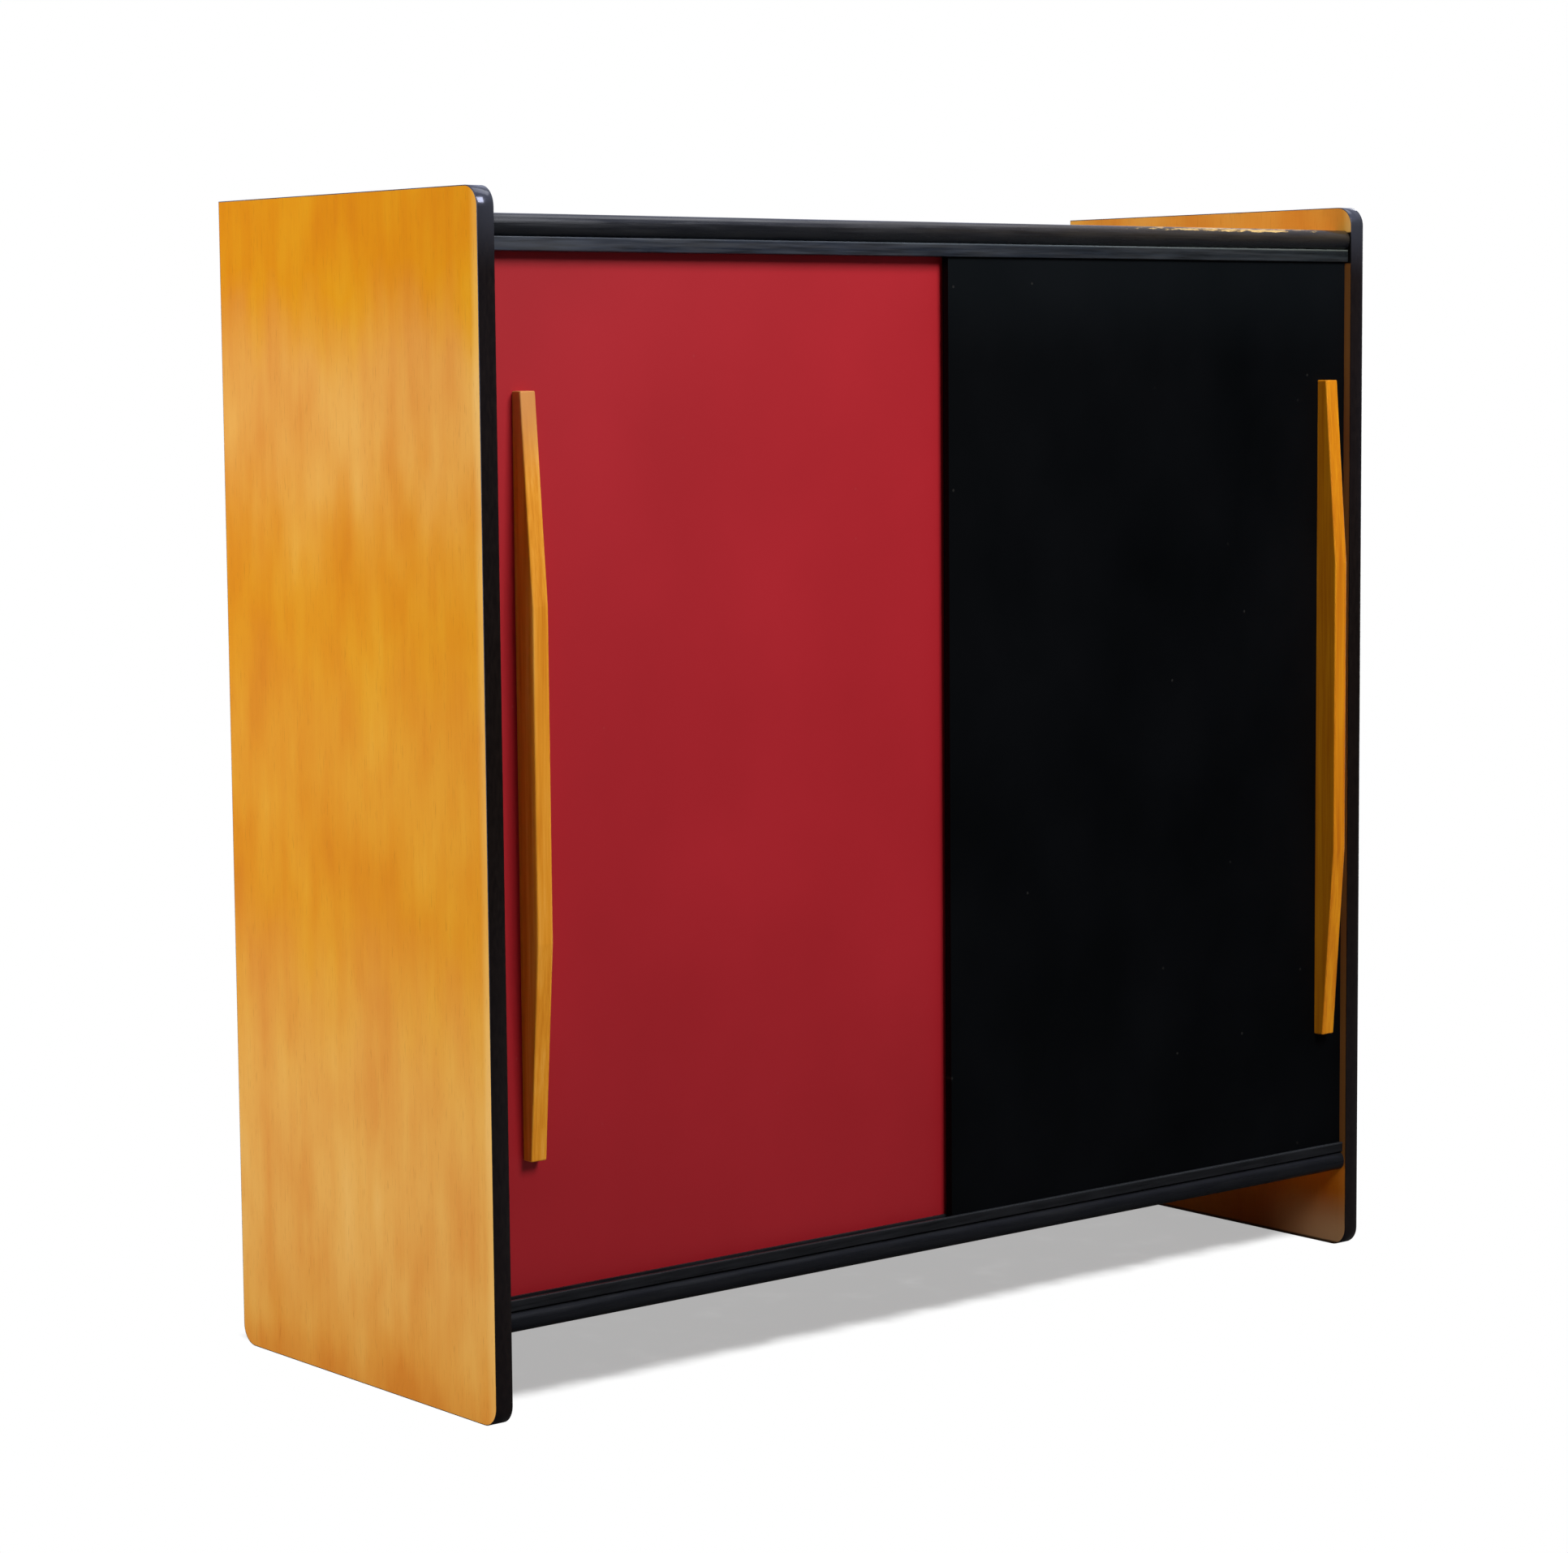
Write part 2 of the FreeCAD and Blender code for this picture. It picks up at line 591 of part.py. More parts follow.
def back_panel():
    """Plywood back in the side panels' rebates, screwed to the case and the divider."""
    reach = "(Places.inner + Sizes.rebate_width - Sizes.back_gap)"
    blank = box("back_blank", "2 * " + reach, "Sizes.back_board", "Places.top_face - Sizes.floor_gap",
                "-" + reach, "Places.back_inside", "Sizes.floor_gap")
    keep(cut("back_panel", blank, back_screw_holes()), "back_panel")
    screws = [screw("back_screw", "back_screw", TOWARD_FRONT, x, BACK_FACE, z) for x, z in BACK_SCREWS]
    keep(group("back_panel_screws", screws), "back_panel_screws")


def handle_screw_places(handle_x):
    """Where a handle is screwed to its door: (x, z) formulas."""
    low = "Places.handle_z + Sizes.handle_screw_inset"
    high = "Places.handle_z + Sizes.handle_length - Sizes.handle_screw_inset"
    return [(handle_x + " + Sizes.handle_width / 2", z) for z in spread(low, high, 3)]


def door(colour):
    """Sliding door with its runner blocks, wooden handle and the screws that hold the handle from behind."""
    x = "Places.%s_x" % colour
    y = "Places.%s_y" % colour
    handle_x = "Places.%s_handle_x" % colour
    rear_face = y + " + Sizes.door_board"
    screws = handle_screw_places(handle_x)

    owner = body(colour + "_door_body", x, y, "Places.door_base")
    corners = rectangle("Sizes.door_board", "Places.door_height")
    pad(owner, corners, "Places.door_width")
    round_edges(owner, lambda edge: True, "Sizes.door_arris")
    tools = [screw_hole(colour + "_door_hole", "handle_screw", TOWARD_FRONT, sx, rear_face, sz)
             for sx, sz in screws]
    glides = []
    glide_y = y + " + (Sizes.door_board - Sizes.glide_width) / 2"
    for glide_x in (x + " + Sizes.glide_inset",
                    x + " + Places.door_width - Sizes.glide_inset - Sizes.glide_length"):
        tools.append(box(colour + "_slot", "Sizes.glide_length + 2 * Sizes.peg_gap",
                         "Sizes.glide_width + 2 * Sizes.peg_gap", "Sizes.glide_slot + Sizes.overrun",
                         glide_x + " - Sizes.peg_gap", glide_y + " - Sizes.peg_gap",
                         "Places.door_base - Sizes.overrun"))
        glides.append(box(colour + "_glide", "Sizes.glide_length", "Sizes.glide_width",
                          "Sizes.glide_slot + Sizes.door_bottom_gap - Sizes.glide_play",
                          glide_x, glide_y, "Places.bottom_floor + Sizes.glide_play"))
    keep(cut(colour + "_door", owner, tools), colour + "_door")
    keep(group(colour + "_door_glides", glides), colour + "_door_glides")

    grip = body(colour + "_handle_body", handle_x, y + " - Sizes.handle_depth", "Places.handle_z")
    shallow = "Sizes.handle_depth - Sizes.handle_end_depth"
    upper_bend = "Sizes.handle_length - Sizes.handle_upper_taper"
    pad(grip, [("Sizes.handle_depth", "0"), ("Sizes.handle_depth", "Sizes.handle_length"),
               (shallow, "Sizes.handle_length"), ("0", upper_bend),
               ("0", "Sizes.handle_lower_taper"), (shallow, "0")], "Sizes.handle_width")
    round_edges(grip, grip_edges, "Sizes.handle_arris")
    tools = [screw_hole(colour + "_handle_hole", "handle_screw", TOWARD_FRONT, sx, rear_face, sz)
             for sx, sz in screws]
    keep(cut(colour + "_door_handle", grip, tools), colour + "_door_handle")
    keep(group(colour + "_handle_screws",
               [screw(colour + "_handle_screw", "handle_screw", TOWARD_FRONT, sx, rear_face, sz)
                for sx, sz in screws]), colour + "_handle_screws")


def grip_edges(edge):
    """Picker of a handle's edges, but for those at the door and the two creases across its front."""
    bounds = edge.BoundBox
    crease = near(bounds.YMin, 0) and not near(bounds.XMin, bounds.XMax)
    return not crease and bounds.YMin < value("Sizes.handle_depth") - SAME_PLACE


def build():
    left_x = "-Sizes.overall_width / 2"
    right_x = "Places.inner"
    side_panel("left", left_x, "-Places.inner", TOWARD_LEFT)
    edge_band("left", left_x, "-Places.inner")
    side_panel("right", right_x, "Places.inner", TOWARD_RIGHT)
    edge_band("right", right_x, "Places.inner")
    case_panel("top", "Places.top_under")
    case_panel("bottom", "Sizes.floor_gap")
    panel_dowels("top")
    panel_dowels("bottom")
    nosing("top", "Places.top_under")
    nosing("bottom", "Sizes.floor_gap")
    track("top", "Places.top_track_z")
    track("bottom", "Places.bottom_face")
    divider()
    shelves()
    shelf_pins("left")
    shelf_pins("right")
    back_panel()
    door("red")
    door("black")


def check():
    """Stop before anything is written if an object failed."""
    for thing in doc.Objects:
        if "Invalid" in thing.State or "Error" in thing.State:
            raise RuntimeError("%s failed: %s" % (thing.Name, thing.State))
    for part in parts:
        if part.Shape.isNull() or not part.Shape.isValid():
            raise RuntimeError(part.Label + " has no valid shape")


def export():
    os.makedirs("parts", exist_ok=True)
    for part in parts:
        part.Shape.exportStep("parts/%s.step" % part.Label)
        print("%-22s %2d solids %12.1f mm3" % (part.Label, len(part.Shape.Solids), part.Shape.Volume))


build()
doc.recompute()
check()
export()
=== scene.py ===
import math

import bmesh
import bpy
from mathutils import Matrix, Vector


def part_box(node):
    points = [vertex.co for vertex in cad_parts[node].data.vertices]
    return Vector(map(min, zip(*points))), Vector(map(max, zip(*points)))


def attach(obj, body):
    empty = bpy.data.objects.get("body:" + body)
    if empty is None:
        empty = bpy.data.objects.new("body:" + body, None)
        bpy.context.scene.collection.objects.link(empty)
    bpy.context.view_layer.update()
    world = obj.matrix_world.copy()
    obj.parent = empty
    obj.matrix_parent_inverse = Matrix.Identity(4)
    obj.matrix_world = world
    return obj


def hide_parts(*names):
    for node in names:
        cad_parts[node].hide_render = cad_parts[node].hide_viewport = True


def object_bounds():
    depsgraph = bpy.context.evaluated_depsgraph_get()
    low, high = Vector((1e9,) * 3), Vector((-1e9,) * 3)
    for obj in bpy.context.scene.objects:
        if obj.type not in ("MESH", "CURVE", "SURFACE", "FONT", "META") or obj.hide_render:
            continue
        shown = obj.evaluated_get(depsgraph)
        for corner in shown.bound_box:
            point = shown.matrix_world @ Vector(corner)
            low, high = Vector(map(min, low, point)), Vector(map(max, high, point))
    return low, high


# Side cabinet with two sliding doors between veneered side panels that stand on the floor as legs.
# Metres. +Z is up, the doors face -Y, and the origin is on the floor under the middle.
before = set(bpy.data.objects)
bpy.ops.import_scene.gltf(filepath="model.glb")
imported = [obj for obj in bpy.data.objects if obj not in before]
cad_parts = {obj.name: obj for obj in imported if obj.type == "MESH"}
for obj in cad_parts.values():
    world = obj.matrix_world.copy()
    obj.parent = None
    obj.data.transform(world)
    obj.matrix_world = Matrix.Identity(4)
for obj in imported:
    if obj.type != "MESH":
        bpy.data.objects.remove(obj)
solid_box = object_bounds()

MM = 0.001

# Faces that the finishes follow, read from the CAD parts.
HEIGHT = solid_box[1][2]
PANEL_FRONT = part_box("right_side_panel")[0][1]
INNER_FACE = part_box("right_edge_band")[0][0]
OUTER_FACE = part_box("right_edge_band")[1][0]
CASE_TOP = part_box("top_panel")[1][2]
CASE_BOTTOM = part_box("bottom_panel")[0][2]
NOSING_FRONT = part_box("top_front_nosing")[0][1]
GUIDE_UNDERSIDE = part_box("top_door_track")[0][2]
DOOR_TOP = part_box("black_door")[1][2]
DOOR_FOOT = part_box("black_door")[0][2]


def linear(hex_colour):
    """A colour written as sRGB hex, in linear light with its alpha."""
    channels = [int(hex_colour[start:start + 2], 16) / 255 for start in (1, 3, 5)]
    return tuple(c / 12.92 if c <= 0.04045 else ((c + 0.055) / 1.055) ** 2.4 for c in channels) + (1.0,)


def grey(amount):
    """The hex grey whose linear value is the amount."""
    shade = 12.92 * amount if amount <= 0.0031308 else 1.055 * amount ** (1 / 2.4) - 0.055
    return "#" + 3 * f"{round(255 * shade):02x}"


def add(tree, kind, inputs=None, give=None, stops=(), easing="LINEAR", **settings):
    """Add a node and return its first output, or the output or outputs named in give.

    Each input is named or numbered and holds a value, a hex colour or another node's output. A colour ramp
    also has stops of (place, hex colour).
    """
    node = tree.nodes.new(kind)
    for name, value in settings.items():
        setattr(node, name, value)
    if stops:
        node.color_ramp.interpolation = easing
        elements = node.color_ramp.elements
        while len(elements) < len(stops):
            elements.new(1.0)
        for element, (place, colour) in zip(elements, stops):
            element.position = place
            element.color = linear(colour)
    sockets = dict(enumerate(node.inputs))
    sockets.update((socket.name, socket) for socket in node.inputs if socket.enabled)
    for name, value in (inputs or {}).items():
        if isinstance(value, bpy.types.NodeSocket):
            tree.links.new(value, sockets[name])
        else:
            sockets[name].default_value = linear(value) if isinstance(value, str) else value
    given = {socket.name: socket for socket in node.outputs if socket.enabled}
    if isinstance(give, tuple):
        return [given[name] for name in give]
    return given[give] if give else next(iter(given.values()), None)


def new_material(name):
    """An empty material, its node tree, and a point's place on the cabinet as a whole and as X, Y and Z."""
    material = bpy.data.materials.new(name)
    material.use_nodes = True
    tree = material.node_tree
    tree.nodes.clear()
    place = add(tree, "ShaderNodeTexCoord", give="Object")
    return material, tree, place, add(tree, "ShaderNodeSeparateXYZ", {0: place}, give=("X", "Y", "Z"))


def give_surface(tree, inputs):
    """Close a material with the shader that these inputs describe."""
    shader = add(tree, "ShaderNodeBsdfPrincipled", inputs)
    add(tree, "ShaderNodeOutputMaterial", {"Surface": shader})


def lumps(tree, place, size_mm, detail, roughness=0.5, shift=(0, 0, 0)):
    """Noise whose lumps are about size_mm long along X, Y and Z."""
    scale = [1 / (size * MM) for size in size_mm]
    scaled = add(tree, "ShaderNodeMapping", {"Vector": place, "Scale": scale, "Location": shift})
    return add(tree, "ShaderNodeTexNoise",
               {"Vector": scaled, "Scale": 1.0, "Detail": detail, "Roughness": roughness})


def weighted_sum(tree, terms):
    """Sum of (value, weight) pairs."""
    total = 0.0
    for value, weight in terms:
        total = add(tree, "ShaderNodeMath", {0: value, 1: weight, 2: total}, operation="MULTIPLY_ADD")
    return total


def reach(origin, none_mm, full_mm):
    """Where something starts and where it is full, in metres, at distances from an origin along its axis."""
    return origin + none_mm * MM, origin + full_mm * MM


def zone(tree, limits, strength=1.0, within=1.0):
    """The strength inside a zone and 0 outside, smooth at its limits: (value, (where none, where full)).

    within is the share of a wider zone that it lies in.
    """
    share = add(tree, "ShaderNodeMath", {0: within, 1: strength}, operation="MULTIPLY")
    for value, (none, full) in limits:
        reached = add(tree, "ShaderNodeMapRange", {"Value": value, "From Min": none, "From Max": full},
                      interpolation_type="SMOOTHSTEP")
        share = add(tree, "ShaderNodeMath", {0: reached, 1: share}, operation="MULTIPLY")
    return share


def coats(tree, colour, *coats_over, way="MIX"):
    """A colour with others laid over it, each given as (share, colour)."""
    for share, over in coats_over:
        colour = add(tree, "ShaderNodeMix", {"Factor": share, "A": colour, "B": over},
                     data_type="RGBA", blend_type=way)
    return colour


# Figure of the veneer: lumps across and along the grain in millimetres, detail, roughness and shift. Real
# pores are finer, and are drawn this coarse so that they show.
VENEER_FIGURE = {
    "clouds": (70, 150, 2.0, 0.5, (0, 0, 0)),
    "flames": (24, 62, 2.0, 0.5, (7, 9, 4)),
    "streaks": (14, 130, 1.5, 0.5, (3, 1, 2)),
    "fibres": (2.2, 110, 3.0, 0.65, (0, 0, 0)),
    "pores": (0.9, 16, 1.0, 0.5, (5, 4, 7)),
}
# Shares of the tone. Clouds and streaks part theirs by how cloudy each veneer is.
FLAME_SHARE = 0.16
FIBRE_SHARE = 0.11
CLOUD_AND_STREAK_SHARE = 0.73
FOOT_DARKER = -0.12
RIM_PALER = 0.15
RIM_FADING = 0.45
FADING_RAGGED = 0.14
FIBRE_DEPTH_MM = 0.05
PORE_LIMITS = (0.64, 0.74)
PORE_STRENGTH = 0.22
FOOT_UP = reach(0, 45, 0)
RIM_BACK = reach(PANEL_FRONT, 12.7, 1.7)
# Painted shade and other marks on the veneer inside the cabinet.
INNER_ASIDE = reach(INNER_FACE, 1.5, 0.5)
INNER_UP = reach(CASE_TOP, -7.4, -27.4)
INNER_FOOT_MM = 95
# The foot's inner faces turn paler and greyer towards the front near the floor.
FOOT_PALING_UP = reach(0, 60, 8)
FOOT_PALING_BACK = reach(PANEL_FRONT, 131, 11)
FOOT_PALING_STRENGTH = 0.55
# Painted shade on the front of the inner faces above the bottom panel, beside the doors.
FRONT_SHADE_UP = reach(CASE_BOTTOM, 2.2, 8.2)
FRONT_SHADE_BACK = reach(PANEL_FRONT, 18.7, 6.7)
FRONT_SHADE_STRENGTH = 0.5
# Painted contact shadow along the lower edge of the inner faces.
CONTACT_SHADOW_UP = reach(0, 4, 2)
CONTACT_SHADOW_STRENGTH = 0.9
# A near-black strip painted on the front of the inner faces beside the upper rails.
RAIL_STRIP_FROM_UP = reach(GUIDE_UNDERSIDE, -2.4, -0.4)
RAIL_STRIP_TO_UP = reach(CASE_TOP, -0.9, -2.4)
RAIL_STRIP_BACK = reach(PANEL_FRONT, 11.7, 10.2)


def shade_and_marks_inside(tree, colour, sideways, backward, up):
    """Painted shade and other marks on the veneer inside the cabinet, below the top.

    Inside, the veneer is multiplied darker as painted shade. It is darkest at the floor and least dark just
    below the bottom rail, where the lift is painted light. At the front above the bottom panel it is darker
    still, as painted shade, and at the floor it is a nearly black painted contact shadow. Towards the front
    of the foot it turns paler and greyer, and beside the upper rails a near-black strip is painted on it.
    """
    aside = add(tree, "ShaderNodeMath", {0: sideways}, operation="ABSOLUTE")
    inside = zone(tree, [(aside, INNER_ASIDE), (up, INNER_UP)])
    height_share = add(tree, "ShaderNodeMath", {0: up, 1: INNER_FOOT_MM * MM}, operation="DIVIDE")
    # Painted shade: the veneer inside is multiplied darker, most at the floor; just below the bottom rail
    # the multiply is lifted, as painted light.
    painted_inner_shade = add(tree, "ShaderNodeValToRGB", {"Fac": height_share}, stops=[
        (0.0, "#a07c50"), (0.35, "#c89868"), (0.80, "#ffc084"), (1.0, "#d0aa74")])
    inner_shaded = coats(tree, colour, (inside, painted_inner_shade), way="MULTIPLY")
    # Paler and greyer towards the front near the floor.
    front_foot_paling = zone(tree, [(up, FOOT_PALING_UP), (backward, FOOT_PALING_BACK)], FOOT_PALING_STRENGTH, inside)
    # Painted shade at the front of the inner faces, beside the doors.
    painted_front_shade = zone(tree, [(up, FRONT_SHADE_UP), (backward, FRONT_SHADE_BACK)], FRONT_SHADE_STRENGTH, inside)
    # Painted contact shadow: nearly black along the floor.
    painted_contact_shadow = zone(tree, [(up, CONTACT_SHADOW_UP)], CONTACT_SHADOW_STRENGTH, inside)
    # Near-black strip beside the upper rails.
    rail_end_strip = zone(tree, [(aside, INNER_ASIDE), (up, RAIL_STRIP_FROM_UP), (up, RAIL_STRIP_TO_UP),
                        (backward, RAIL_STRIP_BACK)])
    return coats(tree, inner_shaded, (front_foot_paling, "#e0b888"), (painted_front_shade, "#4a4038"), (painted_contact_shadow, "#140c06"), (rail_end_strip, "#0d0c0c"))


def lacquered_veneer(name, along, tones, faded_tones, fading, cloudy=0.56, roughness=0.42):
    """Old sliced veneer under satin lacquer: clouds, flames, soft streaks, fine fibres and short dark pores.

    It is paler in bands at given heights: fading holds stops of (height share, paleness from 0 to 1). It is
    paler along the front edge, and the foot is darker. The eye sees a warm, uneven glow and a faint sheen.
    """
    material, tree, place, (sideways, backward, up) = new_material(name)
    figure = {}
    for pattern, (across_mm, along_mm, *look) in VENEER_FIGURE.items():
        sizes = [along_mm if axis == along else across_mm for axis in "XYZ"]
        figure[pattern] = lumps(tree, place, sizes, *look)
    rim = zone(tree, [(backward, RIM_BACK)])
    tone = weighted_sum(tree, [
        (figure["clouds"], cloudy), (figure["flames"], FLAME_SHARE),
        (figure["streaks"], CLOUD_AND_STREAK_SHARE - cloudy), (figure["fibres"], FIBRE_SHARE),
        (zone(tree, [(up, FOOT_UP)]), FOOT_DARKER), (rim, RIM_PALER)])
    drift = weighted_sum(tree, [(up, 1 / HEIGHT), (figure["clouds"], FADING_RAGGED)])
    fade = add(tree, "ShaderNodeValToRGB", {"Fac": drift}, easing="B_SPLINE",
               stops=[(share + FADING_RAGGED / 2, grey(amount)) for share, amount in fading])
    paling = weighted_sum(tree, [(fade, 1.0), (rim, RIM_FADING)])
    fresh = add(tree, "ShaderNodeValToRGB", {"Fac": tone}, stops=tones)
    faded = add(tree, "ShaderNodeValToRGB", {"Fac": tone}, stops=faded_tones)
    pores = zone(tree, [(figure["pores"], PORE_LIMITS)], PORE_STRENGTH)
    colour = coats(tree, fresh, (paling, faded), (pores, "#8a4a0c"))
    relief = add(tree, "ShaderNodeBump", {"Height": figure["fibres"], "Distance": FIBRE_DEPTH_MM * MM})
    give_surface(tree, {
        "Base Color": shade_and_marks_inside(tree, colour, sideways, backward, up), "Roughness": roughness,
        "Specular IOR Level": 0.07, "Specular Tint": "#ffdc9c", "Normal": relief})
    return material


PLYWOOD_WAVES_MM = (300, 30, 45)
PLYWOOD_WAVES_SHARE = 0.7
PLYWOOD_FIBRES_MM = (60, 2, 2.5)
PLYWOOD_DEPTH_MM = 0.08


def raw_plywood(name):
    """Rotary-cut plywood left raw: flat, dry and a little darker than the veneer, with wide slow waves."""
    material, tree, place, _ = new_material(name)
    waves = lumps(tree, place, PLYWOOD_WAVES_MM, detail=3.0)
    fibres = lumps(tree, place, PLYWOOD_FIBRES_MM, detail=2.0, roughness=0.7)
    tone = weighted_sum(tree, [(waves, PLYWOOD_WAVES_SHARE), (fibres, 1 - PLYWOOD_WAVES_SHARE)])
    colour = add(tree, "ShaderNodeValToRGB", {"Fac": tone}, stops=[
        (0.30, "#94683a"), (0.5, "#a97c48"), (0.7, "#ba8e58")])
    relief = add(tree, "ShaderNodeBump", {"Height": fibres, "Distance": PLYWOOD_DEPTH_MM * MM})
    give_surface(tree, {"Base Color": colour, "Roughness": 0.75, "Normal": relief})
    return material


HANDLE_STREAKS_MM = (5, 5, 160)
HANDLE_STREAKS_SHARE = 0.65
HANDLE_FIBRES_MM = (1.2, 1.2, 50)
HANDLE_DEPTH_MM = 0.04
SAPWOOD_MM = 90


def oiled_wood(name, handle, tones, pale):
    """Planed and oiled solid wood of a handle: grain along its length and a dull glow.

    pale is how much the sapwood at its top end takes the warmth away.
    """
    material, tree, place, (_, _, up) = new_material(name)
    streaks = lumps(tree, place, HANDLE_STREAKS_MM, detail=2.5)
    fibres = lumps(tree, place, HANDLE_FIBRES_MM, detail=2.0, roughness=0.6)
    tone = weighted_sum(tree, [(streaks, HANDLE_STREAKS_SHARE), (fibres, 1 - HANDLE_STREAKS_SHARE)])
    sapwood = zone(tree, [(up, reach(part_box(handle)[1][2], -SAPWOOD_MM, 0))], pale)
    heartwood = add(tree, "ShaderNodeValToRGB", {"Fac": tone}, stops=tones)
    relief = add(tree, "ShaderNodeBump", {"Height": fibres, "Distance": HANDLE_DEPTH_MM * MM})
    give_surface(tree, {
        "Base Color": coats(tree, heartwood, (sapwood, "#c8874c")), "Roughness": 0.45,
        "Specular IOR Level": 0.15, "Normal": relief})
    return material


EDGING_SCUFFS_MM = (3, 3, 9)
EDGING_SCUFFS_SHARE = 0.04
EDGING_CROWN_MM = 1.4
# Near the top the edging is greyer with dust and with a painted bluish reflection.
EDGING_DUST_AND_SHEEN_UP = reach(HEIGHT, -75, -5)
EDGING_DUST_AND_SHEEN_STRENGTH = 0.9


def plastic_edging(name):
    """Black plastic edging of the side panels: glossy, greyer near the top with dust and a painted sheen.

    Its relief is crowned a little across its width, so that lights draw ovals on it.
    """
    material, tree, place, (sideways, _, up) = new_material(name)
    aside = add(tree, "ShaderNodeMath", {0: sideways}, operation="ABSOLUTE")
    offset = add(tree, "ShaderNodeMath", {0: aside, 1: (INNER_FACE + OUTER_FACE) / 2}, operation="SUBTRACT")
    share = add(tree, "ShaderNodeMath", {0: offset, 1: (OUTER_FACE - INNER_FACE) / 2}, operation="DIVIDE")
    hollow = add(tree, "ShaderNodeMath", {0: share, 1: share}, operation="MULTIPLY")
    scuffs = lumps(tree, place, EDGING_SCUFFS_MM, detail=3.0)
    height = weighted_sum(tree, [(hollow, -1.0), (scuffs, EDGING_SCUFFS_SHARE)])
    relief = add(tree, "ShaderNodeBump", {"Height": height, "Distance": EDGING_CROWN_MM * MM})
    clean = add(tree, "ShaderNodeValToRGB", {"Fac": scuffs}, stops=[(0.35, "#120d0b"), (0.7, "#1a1411")])
    # Dust together with a painted bluish reflection near the top.
    greyer_top = zone(tree, [(up, EDGING_DUST_AND_SHEEN_UP)], EDGING_DUST_AND_SHEEN_STRENGTH)
    give_surface(tree, {
        "Base Color": coats(tree, clean, (greyer_top, "#363840")), "Roughness": 0.16,
        "Specular IOR Level": 0.5, "Specular Tint": "#d8deff", "Normal": relief})
    return material


SMUDGE_LIMITS = (0.35, 0.65)


def smudged(tree, place, size_mm, shift, glossy, dull):
    """Roughness of an old shiny surface that hands and cloths have smudged."""
    smudges = lumps(tree, place, size_mm, detail=3.0, roughness=0.6, shift=shift)
    return add(tree, "ShaderNodeMapRange", {
        "Value": smudges, "From Min": SMUDGE_LIMITS[0], "From Max": SMUDGE_LIMITS[1],
        "To Min": glossy, "To Max": dull})


NOSING_RUBS_MM = (60, 8, 6)
NOSING_SMUDGES_MM = (90, 6, 4)
NOSING_DEPTH_MM = 0.03
# Thin brown lacquer together with a painted warm reflection on the upper nosing's right part.
BROWN_SHEEN_SIDEWAYS = reach(0, -350, 450)
BROWN_SHEEN_UP = reach(CASE_TOP, -16, -4)
BROWN_SHEEN_STRENGTH = 0.28
CHIPS_MM = (13, 4, 3.5)
CHIPS_UP = reach(CASE_TOP, -6.5, -2)
CHIPS_FROM_SIDEWAYS = reach(0, 50, 340)
CHIPS_TO_SIDEWAYS = reach(0, 580, 400)
CHIPS_BACK = reach(NOSING_FRONT, 11, 8)
CHIP_LIMITS = (0.36, 0.50)


def brushed_lacquer(name, level):
    """Black lacquer brushed on a wooden nosing: a soft, smudged gloss.

    On the upper nosing it is thin and brown to the right, with a painted warm reflection on its rounding,
    and there the arris is chipped to the pale wood.
    """
    material, tree, place, (sideways, backward, up) = new_material(name)
    rubs = lumps(tree, place, NOSING_RUBS_MM, detail=4.0, roughness=0.6)
    black = add(tree, "ShaderNodeValToRGB", {"Fac": rubs}, stops=[
        (0.35, "#15161a"), (0.6, "#1a1b1e"), (0.8, "#222224")])
    # Brown of thin lacquer and a painted warm reflection.
    brown_and_warm_sheen = zone(tree, [(sideways, BROWN_SHEEN_SIDEWAYS), (up, BROWN_SHEEN_UP)], BROWN_SHEEN_STRENGTH, rubs)
    chips = lumps(tree, place, CHIPS_MM, detail=3.0, roughness=0.65, shift=(2, 0, 1))
    arris = zone(tree, [(up, CHIPS_UP), (backward, CHIPS_BACK), (sideways, CHIPS_FROM_SIDEWAYS),
                        (sideways, CHIPS_TO_SIDEWAYS)], within=chips)
    bare = zone(tree, [(arris, CHIP_LIMITS)])
    wood = add(tree, "ShaderNodeValToRGB", {"Fac": chips}, stops=[(0.4, "#866434"), (0.6, "#c8a868")])
    relief = add(tree, "ShaderNodeBump", {"Height": rubs, "Distance": NOSING_DEPTH_MM * MM})
    give_surface(tree, {
        "Base Color": coats(tree, black, (brown_and_warm_sheen, "#665228"), (bare, wood)),
        "Roughness": smudged(tree, place, NOSING_SMUDGES_MM, (1, 6, 2), glossy=0.18, dull=0.46),
        "Specular IOR Level": level, "Specular Tint": "#e6e8f0", "Normal": relief})
    return material


GUIDE_SCUFFS_MM = (40, 6, 3)
GUIDE_SMUDGES_MM = (110, 6, 4)
GUIDE_DEPTH_MM = 0.02
GUIDE_SIDEWAYS = reach(0, -500, 500)
# Painted highlight on a guide's upper arris: where it starts and is full, and its weights rightward and by
# scuffs.
GUIDE_ARRIS_MM = (-2.0, -0.7)
GUIDE_HIGHLIGHT_RIGHTWARD = 0.9
GUIDE_HIGHLIGHT_SCUFFS = 0.4
# Places along a guide of its painted reflection tints.
REFLECTION_TINT_PLACES = (0.05, 0.3, 1.0)


